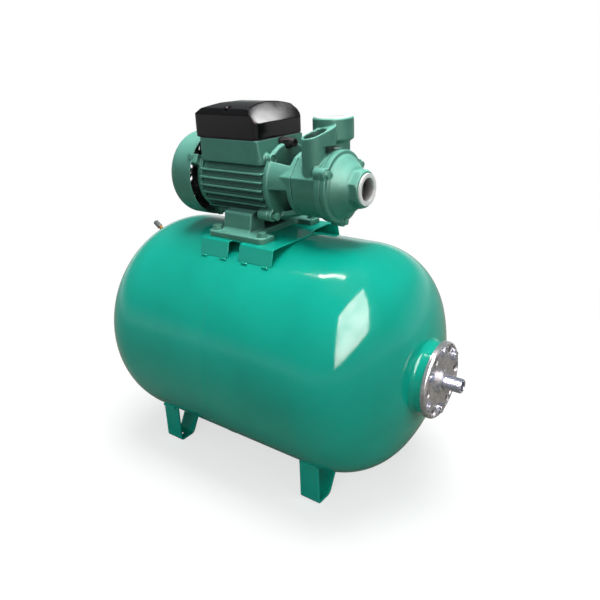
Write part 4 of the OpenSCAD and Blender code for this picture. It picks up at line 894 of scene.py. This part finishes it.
def screwTree():
    s = flangeScrews
    number = "NodeSocketFloat"
    tree, keys, take, leave = startTree("screwRing", {
        "Count": ("NodeSocketInt", 6), "Pitch Radius": (number, 0.036), "Flats": (number, 0.01),
        "Head": (number, 0.004), "Washer": (number, 0.006), "Shank": (number, 0.003),
        "Shank Length": (number, 0.01), "Seat": ("NodeSocketVector", (0, 0, 0)),
        "Seed": ("NodeSocketInt", 0), "Material": ("NodeSocketMaterial", None)})
    times, over = sums(tree, "MULTIPLY", "DIVIDE")

    def cylinder(corners, radius, depth):
        return addNode(tree, "GeometryNodeMeshCylinder",
                       {"Vertices": corners, "Radius": radius, "Depth": depth}).outputs["Mesh"]

    def lift(geometry, height):
        up = addNode(tree, "ShaderNodeCombineXYZ", {2: height})
        return addNode(tree, "GeometryNodeTransform",
                       {"Geometry": geometry, "Translation": up.outputs[0]}).outputs[0]

    corner = over(take["Flats"], math.sqrt(3))
    head = cylinder(6, corner, take["Head"])
    cone = addNode(tree, "GeometryNodeMeshCone", {
        "Vertices": 40, "Radius Top": times(corner, s["coneTop"]),
        "Radius Bottom": times(corner, s["coneFoot"]), "Depth": take["Head"]})
    # the cone turns the hexagon's corners off; the default solver leaves the cone's own flank standing too,
    # which reads as a flared foot
    cut = addNode(tree, "GeometryNodeMeshBoolean", operation="INTERSECT")
    tree.links.new(lift(head, times(take["Head"], 0.5)), cut.inputs[1])
    tree.links.new(cone.outputs["Mesh"], cut.inputs[1])
    ring = cylinder(40, take["Washer"], s["washerThickness"] * mm)
    sunk = lift(cylinder(24, take["Shank"], take["Shank Length"]), times(take["Shank Length"], -0.5))
    screw = addNode(tree, "GeometryNodeJoinGeometry")
    for part in (cut.outputs[0], ring, sunk):
        tree.links.new(part, screw.inputs[0])
    circle = addNode(tree, "GeometryNodeMeshCircle",
                     {"Vertices": take["Count"], "Radius": take["Pitch Radius"]})
    twist = addNode(tree, "FunctionNodeRandomValue", {2: 0.0, 3: math.pi / 3, 8: take["Seed"]},
                    data_type="FLOAT")
    lay = addNode(tree, "GeometryNodeInstanceOnPoints", {
        "Points": circle.outputs["Mesh"], "Instance": screw.outputs[0],
        "Rotation": addNode(tree, "ShaderNodeCombineXYZ", {2: twist.outputs[1]}).outputs[0]})
    stand = addNode(tree, "GeometryNodeTransform", {"Geometry": lay.outputs[0], "Translation": take["Seat"],
                                                    "Rotation": (0.0, math.pi / 2, 0.0)})
    endTree(tree, stand.outputs[0], take["Material"], leave)
    return tree, keys


def buildFlangeScrews():
    tree, keys = screwTree()
    s = flangeScrews
    low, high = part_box("flange_bolts")
    seat = high.x - (s["head"] + s["proud"]) * mm
    piece = meshObject("flangeScrews", bpy.data.meshes.new("flangeScrews"))
    runTree(piece, tree, keys, {
        "Count": s["count"], "Pitch Radius": s["pitchRadius"] * mm, "Flats": s["flats"] * mm,
        "Head": s["head"] * mm, "Washer": s["washer"] * mm, "Shank": s["shank"] * mm,
        "Shank Length": seat - low.x,
        "Seat": (seat, 0.0, drawing["axisZ"] * mm), "Seed": s["seed"], "Material": finish["zincOnSteel"]})
    edge = piece.modifiers.new("edge", "BEVEL")
    edge.width = s["edge"] * mm
    edge.segments = 2
    edge.limit_method = "ANGLE"
    settle(piece)
    smoothAll(piece.data, 35)
    finishPiece(piece, finish["brightTurnedSteel"], "unit", "zinc_plated_steel", "flange_bolts")


buildFlangeScrews()
print("flange screws set")


# threaded stub: one closed skin whose outer wall carries the pipe thread
stub = {
    "crest": 8.33, "root": 7.53, "bore": 5.5, "pitch": 1.337, "depth": 0.6, "threadLength": 19.0,
    "neck": 1.0, "plainEnd": 1.2, "runIn": 1.5, "flank": 2.6, "crestShare": 0.15, "steps": 10, "around": 60,
}


def buildStub():
    s = stub
    low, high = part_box("water_stub")
    start, end = low.x / mm, high.x / mm
    threadStart = end - s["threadLength"]
    rows = [(start, s["bore"], 0), (start, s["root"], 0), (threadStart - s["neck"], s["root"], 0)]
    place = threadStart
    while place < end - s["plainEnd"]:
        rows.append((place, s["crest"], 1))
        place += s["pitch"] / s["steps"]
    # the chamfered nose and the mouth of the bore
    rows += [(end - 0.9, s["crest"] - 0.3, 0), (end, s["crest"] - 1.1, 0), (end - 0.02, s["bore"] + 0.5, 0),
             (end - 0.6, s["bore"], 0)]
    points, faces = [], []
    count = s["around"]
    for x, radius, threaded in rows:
        for k in range(count):
            turn = math.tau * k / count
            r = radius
            if threaded:
                phase = (x / s["pitch"] - k / count) % 1.0
                run = min(1.0, (x - threadStart) / s["runIn"])
                groove = abs(phase - 0.5) * s["flank"] - s["crestShare"]
                r -= s["depth"] * run * min(1.0, max(0.0, groove))
            points.append((x * mm, r * mm * math.cos(turn), drawing["axisZ"] * mm + r * mm * math.sin(turn)))
    for i in range(len(rows)):
        for k in range(count):
            here, there = i * count, ((i + 1) % len(rows)) * count
            faces.append((here + k, here + (k + 1) % count, there + (k + 1) % count, there + k))
    mesh = bpy.data.meshes.new("threadedStub")
    mesh.from_pydata(points, [], faces)
    piece = meshObject("threadedStub", mesh)
    work = bmesh.new()
    work.from_mesh(mesh)
    bmesh.ops.recalc_face_normals(work, faces=work.faces)
    work.to_mesh(mesh)
    work.free()
    smoothAll(mesh, 40)
    finishPiece(piece, finish["brightTurnedSteel"], "unit", "zinc_plated_steel", "water_stub")


buildStub()
print("stub threaded")
